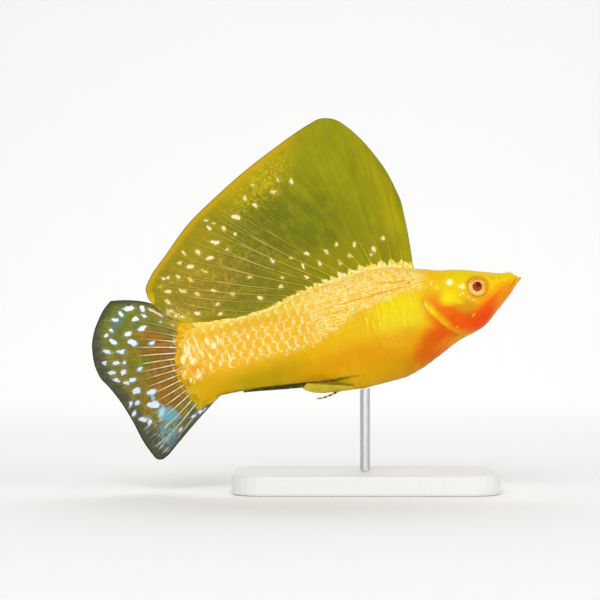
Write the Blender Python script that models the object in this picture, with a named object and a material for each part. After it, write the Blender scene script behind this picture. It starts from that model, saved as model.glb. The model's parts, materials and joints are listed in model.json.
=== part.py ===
"""A life-size museum model of a gold sailfin molly, male, held level-eyed on a rod and a flat base.

The fish is designed lying straight along its own axis, in millimetres: s runs forward from the
root of the tail fin to the snout, y to its left and z up. One empty then tips it nose-up and
sets it over the stand. The body is a loft of superellipse sections between a back line, a belly
line and a flank line, parted into head, torso and tail by thin cuts. Each fin is one closed
sheet whose rays are ridges in its own surface, forking once on the way to the margin.
"""

import math

import bmesh
import bpy
from mathutils import Vector

MM = 0.001

# The pose: nose up, the root of the tail fin at this place over the middle of the stand
PITCH = math.radians(14.0)
TAIL_ROOT_X = -45.25
TAIL_ROOT_Z = 32.5

# The gap that touching pieces keep
GAP = 0.3

# Lines of the body as (station, height) or (station, half width)
BACK = [(-1.0, 8.0), (4.0, 8.2), (10.0, 7.6), (17.0, 7.1), (24.0, 7.6), (31.0, 9.3), (40.0, 10.5),
        (49.0, 11.2), (55.0, 10.7), (61.0, 8.9), (66.0, 7.2), (73.0, 5.4), (79.0, 3.3), (82.5, 2.2),
        (84.2, 2.05), (85.2, 1.35), (86.1, 0.4), (86.8, 0.0)]
BELLY = [(-1.0, -11.4), (3.0, -11.4), (6.5, -10.7), (12.0, -10.9), (20.0, -11.7), (27.5, -12.7),
         (31.5, -13.5), (34.5, -15.2), (38.0, -17.0), (43.0, -17.6), (52.0, -17.5), (57.0, -16.4),
         (62.0, -14.4), (68.0, -11.8), (73.0, -10.5), (75.0, -9.8), (79.0, -6.9), (83.0, -3.8),
         (86.0, -1.2), (86.8, -0.5)]
FLANK = [(-1.0, 0.9), (3.0, 1.6), (8.0, 2.5), (15.0, 3.4), (25.0, 4.4), (35.0, 5.4), (45.0, 6.2),
         (55.0, 6.7), (63.0, 6.8), (69.0, 6.5), (75.0, 5.7), (80.0, 4.5), (84.0, 3.1), (86.0, 1.7),
         (86.8, 0.6)]
WAIST = [(-1.0, -1.5), (15.0, -1.5), (30.0, -1.8), (45.0, -2.5), (60.0, -2.5), (70.0, -2.0),
         (78.0, -1.2), (84.0, -0.5), (86.8, -0.25)]
# Superellipse powers: above 1 draws the section to a ridge, below 1 squares it off
CROWN_POWER = [(-1.0, 1.2), (55.0, 1.15), (68.0, 0.85), (80.0, 0.8), (86.8, 0.95)]
KEEL_POWER = [(-1.0, 1.2), (30.0, 1.1), (42.0, 0.92), (56.0, 0.92), (70.0, 1.05), (86.8, 0.95)]
SNOUT_TIP = (87.0, 0.0, -0.25)

# Where the body is parted
TAIL_CUT = 30.0
GILL_EDGE = [(-12.0, 71.0), (-8.8, 66.3), (-5.0, 63.2), (-2.0, 61.3), (0.0, 61.3), (2.5, 63.2),
             (5.0, 64.3), (9.0, 63.5)]
GILL_CORE = (65.5, 0.0, -2.0)
REAR_BULGE = 0.8
REAR_HOLLOW = 2.3
REAR_MIDDLE_Z = -1.7
REAR_HALF_HEIGHT = 10.0

# Facets of the body
AROUND = 40
HEAD_RINGS = 25
TORSO_RINGS = 15
TAIL_RINGS = 14

# The head: gill cover, cheek, mouth, nostrils and eyes
GILL_FLARE = 0.45
GILL_FLARE_LENGTH = 2.4
CHEEK_CENTRE = (68.5, -2.4)
CHEEK_RADIUS = 5.4
CHEEK_GROOVE = 0.35
CHEEK_GROOVE_WIDTH = 0.8
MOUTH_FRONT = (86.05, 0.35)
MOUTH_CORNER = (83.3, -1.95)
MOUTH_GAPE = 0.5
MOUTH_CORNER_GAPE = 0.3
MOUTH_OVERRUN = 2.0
LIP_HEIGHT = 0.3
LIP_OFFSET = 0.65
LIP_WIDTH = 0.45
NOSTRILS = [(79.6, 1.75, 0.42), (81.2, 1.1, 0.3)]
NOSTRIL_DEPTH = 0.5
EYE = (75.2, 0.4)
EYE_RADIUS = 2.6
EYE_DEPTH = 1.3
EYE_PROUD = 0.75
EYE_TURN = 0.7
EYE_SEGMENTS = 24
EYE_RINGS = 12

# Dorsal fin: root along the back, outer margin from the first ray's tip round to the last
DORSAL_RAYS = 18
DORSAL_ROWS = 13
# Share of the rays counted from the first: where each stands on the back, and its place on the margin
DORSAL_ROOT = [(0.0, 61.3), (0.41, 44.2), (0.82, 27.0), (1.0, 5.0)]
DORSAL_TIPS = [(0.0, 0.0), (0.06, 0.116), (0.18, 0.285), (0.29, 0.474), (0.35, 0.59), (0.41, 0.66),
               (0.53, 0.748), (0.65, 0.853), (0.71, 0.917), (0.82, 0.9715), (1.0, 1.0)]
DORSAL_MARGIN = [(62.2, 26.0), (60.9, 32.4), (58.1, 39.7), (53.9, 46.7), (50.6, 49.8), (47.6, 50.6),
                 (44.5, 49.9), (35.4, 46.5), (26.2, 42.5), (16.7, 37.5), (9.4, 33.1), (1.6, 26.5),
                 (-2.9, 22.5), (-4.9, 19.2), (-4.8, 17.3)]
DORSAL_BOW = [(0.0, 0.0), (0.15, 0.01), (0.4, 0.02), (0.82, 0.03), (1.0, -0.075)]
DORSAL_SWAY = 1.5
DORSAL_REAR_SWING = 1.2

# Tail fin: root round the end of the body, margin from the upper corner to the lower tip
CAUDAL_RAYS = 19
CAUDAL_ROWS = 9
CAUDAL_ROOT_TOP = 4.2
CAUDAL_ROOT_BOTTOM = 6.0
CAUDAL_MARGIN = [(-14.3, 19.0), (-16.3, 17.5), (-18.4, 15.1), (-20.3, 12.2), (-21.6, 8.7),
                 (-22.0, 4.8), (-21.5, 1.4), (-19.6, -2.2), (-17.8, -6.2), (-16.0, -11.7),
                 (-14.8, -16.6), (-13.3, -20.5), (-12.3, -22.2), (-11.2, -22.5), (-9.1, -21.5)]
CAUDAL_BOW = [(0.0, -0.145), (0.12, -0.06), (0.5, 0.0), (0.85, 0.02), (1.0, -0.01)]
CAUDAL_SWAY = 1.2

# Thickness of the sheets: membrane and rays at the root and at the margin
MEMBRANE = (0.6, 0.5)
RAY = (1.2, 0.98)
FORK = 0.55
FORK_SPREAD = 0.24
EDGE_FROM = 0.88
EDGE_THINNING = 0.35

# Pectoral fin: root line on the flank behind the gill cover
PECTORAL_RAYS = 9
PECTORAL_ROWS = 6
PECTORAL_ROOT = [(60.7, -0.7), (60.5, -3.7)]
PECTORAL_LENGTHS = [(0.0, 9.0), (0.12, 12.2), (0.3, 14.3), (0.5, 14.4), (0.8, 10.8), (0.94, 7.6),
                    (1.0, 5.5)]
PECTORAL_ANGLES = (3.0, -48.0)
PECTORAL_SPREAD = math.radians(24.0)

# Pelvic fin: root line on the belly
PELVIC_RAYS = 6
PELVIC_ROWS = 7
PELVIC_ROOT = [(38.6, -15.7), (37.9, -16.8)]
PELVIC_LENGTHS = [(0.0, 10.6), (0.4, 11.4), (0.8, 9.0), (1.0, 6.2)]
PELVIC_ANGLES = (15.0, 2.0)
PELVIC_SPREAD = math.radians(7.0)

# Gonopodium: the anal fin drawn out to a rod that lies back under the body
GONO_START = 32.0
GONO_END = 11.0
GONO_SIDES = 8
GONO_RINGS = 16
GONO_RADIUS = [(0.0, 0.62), (0.35, 0.6), (0.7, 0.42), (1.0, 0.26)]

# Stand
BASE_LENGTH = 66.0
BASE_WIDTH = 36.0
BASE_HEIGHT = 5.0
BASE_CORNER = 8.0
BASE_EDGE = 0.8
ROD_RADIUS = 1.25
ROD_SIDES = 20

# Colour, roughness and metallic value of each finish
FINISHES = {
    "gold_skin": ((0.90, 0.56, 0.04, 1.0), 0.35, 0.0),
    "orange_head": ((0.92, 0.42, 0.03, 1.0), 0.35, 0.0),
    "dorsal_membrane": ((0.42, 0.40, 0.03, 1.0), 0.4, 0.0),
    "caudal_membrane": ((0.30, 0.30, 0.12, 1.0), 0.4, 0.0),
    "pale_membrane": ((0.80, 0.66, 0.20, 1.0), 0.4, 0.0),
    "dark_rod": ((0.12, 0.11, 0.03, 1.0), 0.4, 0.0),
    "eye": ((0.85, 0.70, 0.35, 1.0), 0.15, 0.0),
    "stand_white": ((0.86, 0.86, 0.84, 1.0), 0.4, 0.0),
    "stand_steel": ((0.70, 0.70, 0.70, 1.0), 0.25, 1.0),
}


def clear_scene():
    for obj in list(bpy.data.objects):
        bpy.data.objects.remove(obj)


def mix(a, b, share):
    return a + (b - a) * share


def smooth_line(knots):
    """A smooth curve through (place, value) knots, with no overshoot between them."""
    xs = [k[0] for k in knots]
    ys = [k[1] for k in knots]
    slopes = [(ys[i + 1] - ys[i]) / (xs[i + 1] - xs[i]) for i in range(len(xs) - 1)]
    tangents = [slopes[0]]
    for before, after in zip(slopes, slopes[1:]):
        tangents.append(0.0 if before * after <= 0 else 2 * before * after / (before + after))
    tangents.append(slopes[-1])

    def value(x):
        if x <= xs[0]:
            return ys[0]
        if x >= xs[-1]:
            return ys[-1]
        i = max(k for k in range(len(xs) - 1) if xs[k] <= x)
        width = xs[i + 1] - xs[i]
        t = (x - xs[i]) / width
        rise = t * t * (3 - 2 * t)
        return (mix(ys[i], ys[i + 1], rise) + width * t * (1 - t)
                * (tangents[i] * (1 - t) - tangents[i + 1] * t))

    return value


def smooth_path(points):
    """A smooth plane curve through the points, read by its share of the whole length."""
    reach = [0.0]
    for a, b in zip(points, points[1:]):
        reach.append(reach[-1] + math.dist(a, b))
    along = smooth_line([(r, p[0]) for r, p in zip(reach, points)])
    up = smooth_line([(r, p[1]) for r, p in zip(reach, points)])
    return lambda share: (along(share * reach[-1]), up(share * reach[-1]))


back_line = smooth_line(BACK)
belly_line = smooth_line(BELLY)
flank_line = smooth_line(FLANK)
waist_line = smooth_line(WAIST)
crown_power = smooth_line(CROWN_POWER)
keel_power = smooth_line(KEEL_POWER)
gill_edge = smooth_line(GILL_EDGE)
dorsal_margin = smooth_path(DORSAL_MARGIN)
dorsal_bow = smooth_line(DORSAL_BOW)
dorsal_root = smooth_line(DORSAL_ROOT)
dorsal_tips = smooth_line(DORSAL_TIPS)
caudal_margin = smooth_path(CAUDAL_MARGIN)
caudal_bow = smooth_line(CAUDAL_BOW)
gono_radius = smooth_line(GONO_RADIUS)


def section_point(s, angle):
    """The skin at a station; the angle runs from the back (0) over the left flank (pi/2)."""
    upper = math.cos(angle) >= 0
    power = crown_power(s) if upper else keel_power(s)
    reach = (back_line(s) if upper else belly_line(s)) - waist_line(s)
    across = abs(math.sin(angle)) ** power
    y = math.copysign(flank_line(s) * across, math.sin(angle))
    z = waist_line(s) + reach * abs(math.cos(angle)) ** power
    return Vector((s, y, z))


def section_outward(s, angle):
    """The direction out of the skin, in the plane of the section."""
    p = section_point(s, angle)
    reach = (back_line(s) if p.z >= waist_line(s) else belly_line(s)) - waist_line(s)
    out = Vector((0.0, p.y / flank_line(s) ** 2, (p.z - waist_line(s)) / reach ** 2))
    return out.normalized()


def flank_y(s, z):
    """How far the left flank stands out at a station and height."""
    upper = z >= waist_line(s)
    power = crown_power(s) if upper else keel_power(s)
    reach = (back_line(s) if upper else belly_line(s)) - waist_line(s)
    share = min(1.0, max(0.0, (z - waist_line(s)) / reach)) ** (1 / power)
    return flank_line(s) * math.sqrt(1 - share * share) ** power


def belly_z(s, y):
    """How low the belly reaches at a station, beside the keel."""
    share = min(1.0, abs(y) / flank_line(s)) ** (1 / keel_power(s))
    depth = waist_line(s) - belly_line(s)
    return waist_line(s) - depth * math.sqrt(1 - share * share) ** keel_power(s)


def rear_edge(z):
    """The rounded end of the tail, as a station for each height."""
    return -REAR_BULGE + REAR_HOLLOW * ((z - REAR_MIDDLE_Z) / REAR_HALF_HEIGHT) ** 2


def on_edge(edge, angle):
    """The station at which the skin, at this angle, meets an edge given by height."""
    s = edge(0.0)
    for _ in range(12):
        s = edge(section_point(s, angle).z)
    return s


def bump(distance, width):
    return math.exp(-((distance / width) ** 2))


def head_relief(p):
    """How far the head stands proud of its plain section: gill cover, cheek groove and lips."""
    behind = p.x - gill_edge(p.z)
    on_cover = max(0.0, min(1.0, (6.5 - p.z) / 3.0)) * max(0.0, min(1.0, (p.z + 11.5) / 2.5))
    relief = GILL_FLARE * bump(behind, GILL_FLARE_LENGTH) * on_cover
    ahead = p.x - CHEEK_CENTRE[0]
    above = p.z - CHEEK_CENTRE[1]
    if ahead > 0 and above < 1.0:
        relief -= CHEEK_GROOVE * bump(math.hypot(ahead, above) - CHEEK_RADIUS, CHEEK_GROOVE_WIDTH)
    run = Vector(MOUTH_FRONT) - Vector(MOUTH_CORNER)
    from_corner = Vector((p.x, p.z)) - Vector(MOUTH_CORNER)
    along = from_corner.dot(run) / run.length_squared
    beside = abs(from_corner.cross(run)) / run.length
    if along > -0.1:
        relief += LIP_HEIGHT * bump(beside - LIP_OFFSET, LIP_WIDTH) * min(1.0, along + 0.1)
    return relief


def angles():
    return [2 * math.pi * k / AROUND for k in range(AROUND)]


def body_rings(start, end, count, relief=None, crowd=1.0):
    """Rings of skin between two edges, each a function of the angle; crowd packs the far end."""
    rings = []
    for j in range(count + 1):
        share = 1 - (1 - j / count) ** crowd
        ring = []
        for angle in angles():
            s = mix(start(angle), end(angle), share)
            p = section_point(s, angle)
            if relief:
                p = p + section_outward(s, angle) * relief(p)
            ring.append(p)
        rings.append(ring)
    return rings


def new_object(name, mesh, finish, parent):
    obj = bpy.data.objects.new(name, mesh)
    bpy.context.scene.collection.objects.link(obj)
    obj.parent = parent
    if finish:
        mesh.materials.append(finish)
    return obj


def make_mesh(name, points, faces, finish, parent):
    """An object from points in millimetres, its faces turned outwards."""
    mesh = bpy.data.meshes.new(name)
    mesh.from_pydata([Vector(p) * MM for p in points], [], faces)
    shaper = bmesh.new()
    shaper.from_mesh(mesh)
    bmesh.ops.recalc_face_normals(shaper, faces=shaper.faces)
    shaper.to_mesh(mesh)
    shaper.free()
    mesh.shade_smooth()
    return new_object(name, mesh, finish, parent)


def loft(name, rings, first_cap, last_cap, finish, parent):
    """A closed body through rings of equal count, each end fanned to one point."""
    around = len(rings[0])
    points = [p for ring in rings for p in ring] + [first_cap, last_cap]
    first_tip = len(points) - 2
    last_tip = len(points) - 1
    last_row = (len(rings) - 1) * around
    faces = []
    for j in range(len(rings) - 1):
        for k in range(around):
            a = j * around + k
            b = j * around + (k + 1) % around
            faces.append((a, b, b + around))
            faces.append((a, b + around, a + around))
    for k in range(around):
        after = (k + 1) % around
        faces.append((first_tip, after, k))
        faces.append((last_tip, last_row + k, last_row + after))
    return make_mesh(name, points, faces, finish, parent)


def sheet(name, columns, rows, place, thickness, finish, parent):
    """A closed thin sheet: place gives the middle and its side direction, thickness the wall.

    Both faces are split along the same diagonals, so that they never cross.
    """
    points = []
    for side in (1, -1):
        for i in range(columns + 1):
            for j in range(rows + 1):
                middle, across = place(i, j)
                points.append(middle + across * (side * thickness(i, j) / 2))
    half = (columns + 1) * (rows + 1)

    def at(i, j):
        return i * (rows + 1) + j

    faces = []
    for i in range(columns):
        for j in range(rows):
            a, b, c, d = at(i, j), at(i + 1, j), at(i + 1, j + 1), at(i, j + 1)
            faces.extend([(a, b, c), (a, c, d)])
            faces.extend([(half + a, half + c, half + b), (half + a, half + d, half + c)])
    rim = [at(i, 0) for i in range(columns)] + [at(columns, j) for j in range(rows)]
    rim += [at(i, rows) for i in range(columns, 0, -1)] + [at(0, j) for j in range(rows, 0, -1)]
    for a, b in zip(rim, rim[1:] + rim[:1]):
        faces.extend([(a, half + a, half + b), (a, half + b, b)])
    return make_mesh(name, points, faces, finish, parent)


# A ray takes four columns: its crest, the two forks beside it and the membrane half way
FORKED_COLUMNS = [0.0, FORK_SPREAD, 0.5, 1 - FORK_SPREAD]
PLAIN_COLUMNS = [0.0, 0.5]


def column_places(rays, pattern):
    """The place of each column, counted in rays from the first."""
    return [ray + step for ray in range(rays - 1) for step in pattern] + [rays - 1.0]


def forked_thickness(place, share):
    """Wall of a sheet with forking rays, at a place counted in rays and a share of the height."""
    membrane = mix(*MEMBRANE, share)
    ridge = mix(*RAY, share) - membrane
    beside = abs(place - round(place))
    forked = max(0.0, min(1.0, (share - FORK) / 0.12))
    thinning = 1 - EDGE_THINNING * max(0.0, (share - EDGE_FROM) / (1 - EDGE_FROM))
    if beside < 0.01:
        return (membrane + ridge * (1 - 0.8 * forked)) * thinning
    if beside < FORK_SPREAD + 0.01:
        return (membrane + ridge * 0.85 * forked) * thinning
    return membrane * thinning


def plain_thickness(place, share):
    """Wall of a small sheet with unforked rays."""
    on_ray = abs(place - round(place)) < 0.01
    thinning = 1 - EDGE_THINNING * max(0.0, (share - EDGE_FROM) / (1 - EDGE_FROM))
    return (mix(*MEMBRANE, share) + (mix(0.35, 0.2, share) if on_ray else 0.0)) * thinning


def bowed(root, tip, bow, share):
    """A point on a ray that leaves the straight line by bow times its length, to the rear."""
    root = Vector(root)
    tip = Vector(tip)
    run = tip - root
    beside = Vector((-run.y, run.x)) * (2 * bow)
    control = (root + tip) / 2 + beside
    return root * (1 - share) ** 2 + control * (2 * share * (1 - share)) + tip * share ** 2


def dorsal_point(u, v):
    """The dorsal fin's middle sheet; u runs from the first ray to the last, v from the root."""
    s = dorsal_root(u)
    root = (s, back_line(s) + GAP)
    tip = dorsal_margin(dorsal_tips(u))
    p = bowed(root, tip, dorsal_bow(u), v)
    swing = DORSAL_REAR_SWING * v * max(0.0, (u - 0.6) / 0.4) ** 2
    sway = -DORSAL_SWAY * v ** 1.5 * math.sin(math.pi * (2.1 * u - 1.3)) - swing
    return Vector((p.x, sway, p.y))


def caudal_root(u):
    """The line on which the tail fin stands, round the end of the body."""
    top = back_line(1.0) + GAP
    bottom = belly_line(1.0) - GAP
    corner = 0.07
    if u < corner:
        s = mix(CAUDAL_ROOT_TOP, rear_edge(top) - GAP, u / corner)
        return (s, back_line(s) + GAP)
    if u > 1 - corner:
        s = mix(CAUDAL_ROOT_BOTTOM, rear_edge(bottom) - GAP, (1 - u) / corner)
        return (s, belly_line(s) - GAP)
    z = mix(top, bottom, (u - corner) / (1 - 2 * corner))
    return (rear_edge(z) - GAP, z)


def caudal_point(u, v):
    """The tail fin's middle sheet; u runs from the upper ray to the lower, v from the root."""
    p = bowed(caudal_root(u), caudal_margin(u), caudal_bow(u), v)
    sway = CAUDAL_SWAY * v ** 1.6 * math.cos(math.pi * 0.9 * u)
    return Vector((p.x, sway, p.y))


def surface_across(point, u, v):
    """The direction straight through a sheet."""
    step = 0.01
    along_u = point(min(1.0, u + step), v) - point(max(0.0, u - step), v)
    along_v = point(u, min(1.0, v + step)) - point(u, max(0.0, v - step))
    across = along_u.cross(along_v).normalized()
    return across if across.y >= 0 else -across


def ray_fin(name, point, rays, rows, pattern, wall, finish, parent):
    places = column_places(rays, pattern)

    def place(i, j):
        u = places[i] / (rays - 1)
        return point(u, j / rows), surface_across(point, u, j / rows)

    def thickness(i, j):
        return wall(places[i], j / rows)

    return sheet(name, len(places) - 1, rows, place, thickness, finish, parent)


def paired_fin_point(side, root_line, lengths, ray_angles, spread, u, v):
    """A fin that fans back from a short root line on the skin and stands off by an angle."""
    s = mix(root_line[0][0], root_line[1][0], u)
    z = mix(root_line[0][1], root_line[1][1], u)
    y = flank_y(s, z) + GAP + MEMBRANE[0] / 2
    droop = math.radians(mix(*ray_angles, u))
    reach = smooth_line(lengths)(u) * v
    back = reach * math.cos(droop)
    out = reach * math.sin(spread)
    return Vector((s - back * math.cos(spread), side * (y + out), z + reach * math.sin(droop)))


def add_paired_fin(name, side, rays, rows, root_line, lengths, ray_angles, spread, finish, parent):
    def point(u, v):
        return paired_fin_point(side, root_line, lengths, ray_angles, spread, u, v)

    return ray_fin(name, point, rays, rows, PLAIN_COLUMNS, plain_thickness, finish, parent)


def add_ellipsoid(name, centre, radii, side, facing, finish, parent):
    """An ellipsoid whose middle radius lies along facing, on one side of the fish."""
    turn = Vector((0, side, 0)).rotation_difference(facing)
    mesh = bpy.data.meshes.new(name)
    shaper = bmesh.new()
    bmesh.ops.create_uvsphere(shaper, u_segments=EYE_SEGMENTS, v_segments=EYE_RINGS, radius=1.0)
    for vert in shaper.verts:
        # The poles of the sphere are turned to face sideways
        x, y, z = vert.co
        out = turn @ Vector((x * radii[0], -z * radii[1], y * radii[2]))
        vert.co = (Vector(centre) + out) * MM
    shaper.to_mesh(mesh)
    shaper.free()
    mesh.shade_smooth()
    return new_object(name, mesh, finish, parent)


def cut_with(body, cutter):
    cutter.hide_render = True
    cutter.display_type = "WIRE"
    cut = body.modifiers.new("cut " + cutter.name, "BOOLEAN")
    cut.operation = "DIFFERENCE"
    cut.object = cutter


def add_mouth_cutter(parent):
    """A wedge right across the snout: thin at the corner of the mouth, wider at its front."""
    corner = Vector(MOUTH_CORNER)
    run = (Vector(MOUTH_FRONT) - corner).normalized()
    front = Vector(MOUTH_FRONT) + run * MOUTH_OVERRUN
    up = Vector((-run.y, run.x))
    outline = [corner - up * (MOUTH_CORNER_GAPE / 2), front - up * (MOUTH_GAPE / 2),
               front + up * (MOUTH_GAPE / 2), corner + up * (MOUTH_CORNER_GAPE / 2)]
    half_width = 6.0
    points = [(p.x, side * half_width, p.y) for side in (-1, 1) for p in outline]
    faces = [(3, 2, 1, 0), (4, 5, 6, 7)]
    faces += [(k, (k + 1) % 4, 4 + (k + 1) % 4, 4 + k) for k in range(4)]
    return make_mesh("mouth_cutter", points, faces, None, parent)


def add_head(finish, parent):
    def start(angle):
        return on_edge(gill_edge, angle) + GAP / 2

    def end(angle):
        return SNOUT_TIP[0] - 0.25

    rings = body_rings(start, end, HEAD_RINGS, head_relief, 1.45)
    core = Vector(GILL_CORE) + Vector((GAP / 2, 0, 0))
    head = loft("head", rings, core, Vector(SNOUT_TIP), finish, parent)
    cut_with(head, add_mouth_cutter(parent))
    for side, word in ((1, "left"), (-1, "right")):
        cut_with(head, add_eye("socket_" + word, side, GAP, None, parent))
        for number, (s, z, radius) in enumerate(NOSTRILS):
            place = (s, side * flank_y(s, z), z)
            radii = (radius, NOSTRIL_DEPTH, radius)
            facing = skin_facing(s, z, side)
            name = f"nostril_{word}_{number}"
            cut_with(head, add_ellipsoid(name, place, radii, side, facing, None, parent))
    return head


def skin_facing(s, z, side):
    """The direction in which the flank faces at a station and height."""
    step = 0.2
    slope_s = (flank_y(s + step, z) - flank_y(s - step, z)) / (2 * step)
    slope_z = (flank_y(s, z + step) - flank_y(s, z - step)) / (2 * step)
    return Vector((-slope_s, side, -slope_z)).normalized()


def add_eye(name, side, margin, finish, parent):
    """An eyeball, or with a margin its socket, turned part of the way to face as the skin does."""
    s, z = EYE
    facing = Vector((0, side, 0)).lerp(skin_facing(s, z, side), EYE_TURN).normalized()
    centre = Vector((s, side * flank_y(s, z), z)) + facing * (EYE_PROUD - EYE_DEPTH)
    radii = (EYE_RADIUS + margin, EYE_DEPTH + margin, EYE_RADIUS + margin)
    return add_ellipsoid(name, centre, radii, side, facing, finish, parent)


def add_torso(finish, parent):
    def start(angle):
        return TAIL_CUT + GAP / 2

    def end(angle):
        return on_edge(gill_edge, angle) - GAP / 2

    rings = body_rings(start, end, TORSO_RINGS)
    rear = Vector((TAIL_CUT + GAP / 2, 0, waist_line(TAIL_CUT)))
    front = Vector(GILL_CORE) - Vector((GAP / 2, 0, 0))
    return loft("torso", rings, rear, front, finish, parent)


def add_tail(finish, parent):
    def start(angle):
        return on_edge(rear_edge, angle)

    def end(angle):
        return TAIL_CUT - GAP / 2

    rings = body_rings(start, end, TAIL_RINGS)
    rear = Vector((rear_edge(REAR_MIDDLE_Z), 0, REAR_MIDDLE_Z))
    front = Vector((TAIL_CUT - GAP / 2, 0, waist_line(TAIL_CUT)))
    return loft("tail", rings, rear, front, finish, parent)


def add_gonopodium(finish, parent):
    rings = []
    for j in range(GONO_RINGS + 1):
        share = j / GONO_RINGS
        s = mix(GONO_START, GONO_END, share)
        radius = gono_radius(share)
        middle = belly_line(s) - GAP - radius
        rings.append([Vector((s, radius * math.sin(a), middle + radius * math.cos(a)))
                      for a in (2 * math.pi * k / GONO_SIDES for k in range(GONO_SIDES))])

    def cap(ring, push):
        return sum(ring, Vector()) / len(ring) + Vector((push, 0, 0))

    return loft("gonopodium", rings, cap(rings[0], 0.3), cap(rings[-1], -0.3), finish, parent)


def skin_height_over(x, y):
    """The height of the belly over a point of the stand, in the stand's own frame."""
    s = (x - TAIL_ROOT_X) / math.cos(PITCH)
    for _ in range(30):
        z = belly_z(s, y)
        s = (x - TAIL_ROOT_X + z * math.sin(PITCH)) / math.cos(PITCH)
    return TAIL_ROOT_Z + s * math.sin(PITCH) + z * math.cos(PITCH)


def add_rod(finish):
    """A round rod under the belly, its top shaped to the skin above it."""
    def ring(height):
        return [Vector((ROD_RADIUS * math.cos(a), ROD_RADIUS * math.sin(a), height(a)))
                for a in (2 * math.pi * k / ROD_SIDES for k in range(ROD_SIDES))]

    foot = BASE_HEIGHT + GAP

    def top(a):
        return skin_height_over(ROD_RADIUS * math.cos(a), ROD_RADIUS * math.sin(a)) - GAP

    rings = [ring(lambda a: foot), ring(top)]
    crown = Vector((0, 0, skin_height_over(0.0, 0.0) - GAP))
    rod = loft("stand_rod", rings, Vector((0, 0, foot)), crown, finish, None)
    rod.data.set_sharp_from_angle(angle=math.radians(40))
    return rod


def add_base(finish):
    """A flat plate with round corners and a fine bevel along both edges."""
    half_length = BASE_LENGTH / 2 - BASE_CORNER
    half_width = BASE_WIDTH / 2 - BASE_CORNER
    steps = 6
    outline = []
    for corner, (sx, sy) in enumerate(((1, 1), (-1, 1), (-1, -1), (1, -1))):
        for k in range(steps + 1):
            a = math.pi / 2 * (corner + k / steps)
            outline.append((sx * half_length + BASE_CORNER * math.cos(a),
                            sy * half_width + BASE_CORNER * math.sin(a)))
    mesh = bpy.data.meshes.new("stand_base")
    shaper = bmesh.new()
    floor = shaper.faces.new([shaper.verts.new((x * MM, y * MM, 0)) for x, y in outline])
    raised = bmesh.ops.extrude_face_region(shaper, geom=[floor])
    top = [g for g in raised["geom"] if isinstance(g, bmesh.types.BMVert)]
    bmesh.ops.translate(shaper, verts=top, vec=(0, 0, BASE_HEIGHT * MM))
    bmesh.ops.recalc_face_normals(shaper, faces=shaper.faces)
    shaper.to_mesh(mesh)
    shaper.free()
    base = new_object("stand_base", mesh, finish, None)
    edge = base.modifiers.new("edge", "BEVEL")
    edge.width = BASE_EDGE * MM
    edge.segments = 2
    edge.limit_method = "ANGLE"
    edge.angle_limit = math.radians(60)
    return base


def make_finishes():
    made = {}
    for name, (colour, roughness, metallic) in FINISHES.items():
        finish = bpy.data.materials.new(name)
        finish.use_nodes = True
        shader = finish.node_tree.nodes["Principled BSDF"]
        shader.inputs["Base Color"].default_value = colour
        shader.inputs["Roughness"].default_value = roughness
        shader.inputs["Metallic"].default_value = metallic
        made[name] = finish
    return made


def add_fish(finishes):
    pose = bpy.data.objects.new("fish_pose", None)
    bpy.context.scene.collection.objects.link(pose)
    pose.location = (TAIL_ROOT_X * MM, 0.0, TAIL_ROOT_Z * MM)
    pose.rotation_euler = (0.0, -PITCH, 0.0)
    add_head(finishes["orange_head"], pose)
    add_torso(finishes["gold_skin"], pose)
    add_tail(finishes["gold_skin"], pose)
    ray_fin("dorsal_fin", dorsal_point, DORSAL_RAYS, DORSAL_ROWS, FORKED_COLUMNS,
            forked_thickness, finishes["dorsal_membrane"], pose)
    ray_fin("caudal_fin", caudal_point, CAUDAL_RAYS, CAUDAL_ROWS, FORKED_COLUMNS,
            forked_thickness, finishes["caudal_membrane"], pose)
    add_gonopodium(finishes["dark_rod"], pose)
    for side, word in ((1, "left"), (-1, "right")):
        add_eye("eye_" + word, side, 0.0, finishes["eye"], pose)
        add_paired_fin("pectoral_fin_" + word, side, PECTORAL_RAYS, PECTORAL_ROWS, PECTORAL_ROOT,
                       PECTORAL_LENGTHS, PECTORAL_ANGLES, PECTORAL_SPREAD,
                       finishes["pale_membrane"], pose)
        add_paired_fin("pelvic_fin_" + word, side, PELVIC_RAYS, PELVIC_ROWS, PELVIC_ROOT,
                       PELVIC_LENGTHS, PELVIC_ANGLES, PELVIC_SPREAD,
                       finishes["pale_membrane"], pose)


def main():
    clear_scene()
    finishes = make_finishes()
    add_fish(finishes)
    add_base(finishes["stand_white"])
    add_rod(finishes["stand_steel"])


main()
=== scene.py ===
# %% [markdown]
# # A sailfin molly in its gold form
# A museum keeps a fish like this as a still model on a rod. The imported solids give every size and
# place. This script dresses them: one skin for the body, scales laid over it, fins with branching
# rays, wet eyes, and a plain studio. The solids are loaded first.

# %% Load the frame
import json
import math

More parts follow.
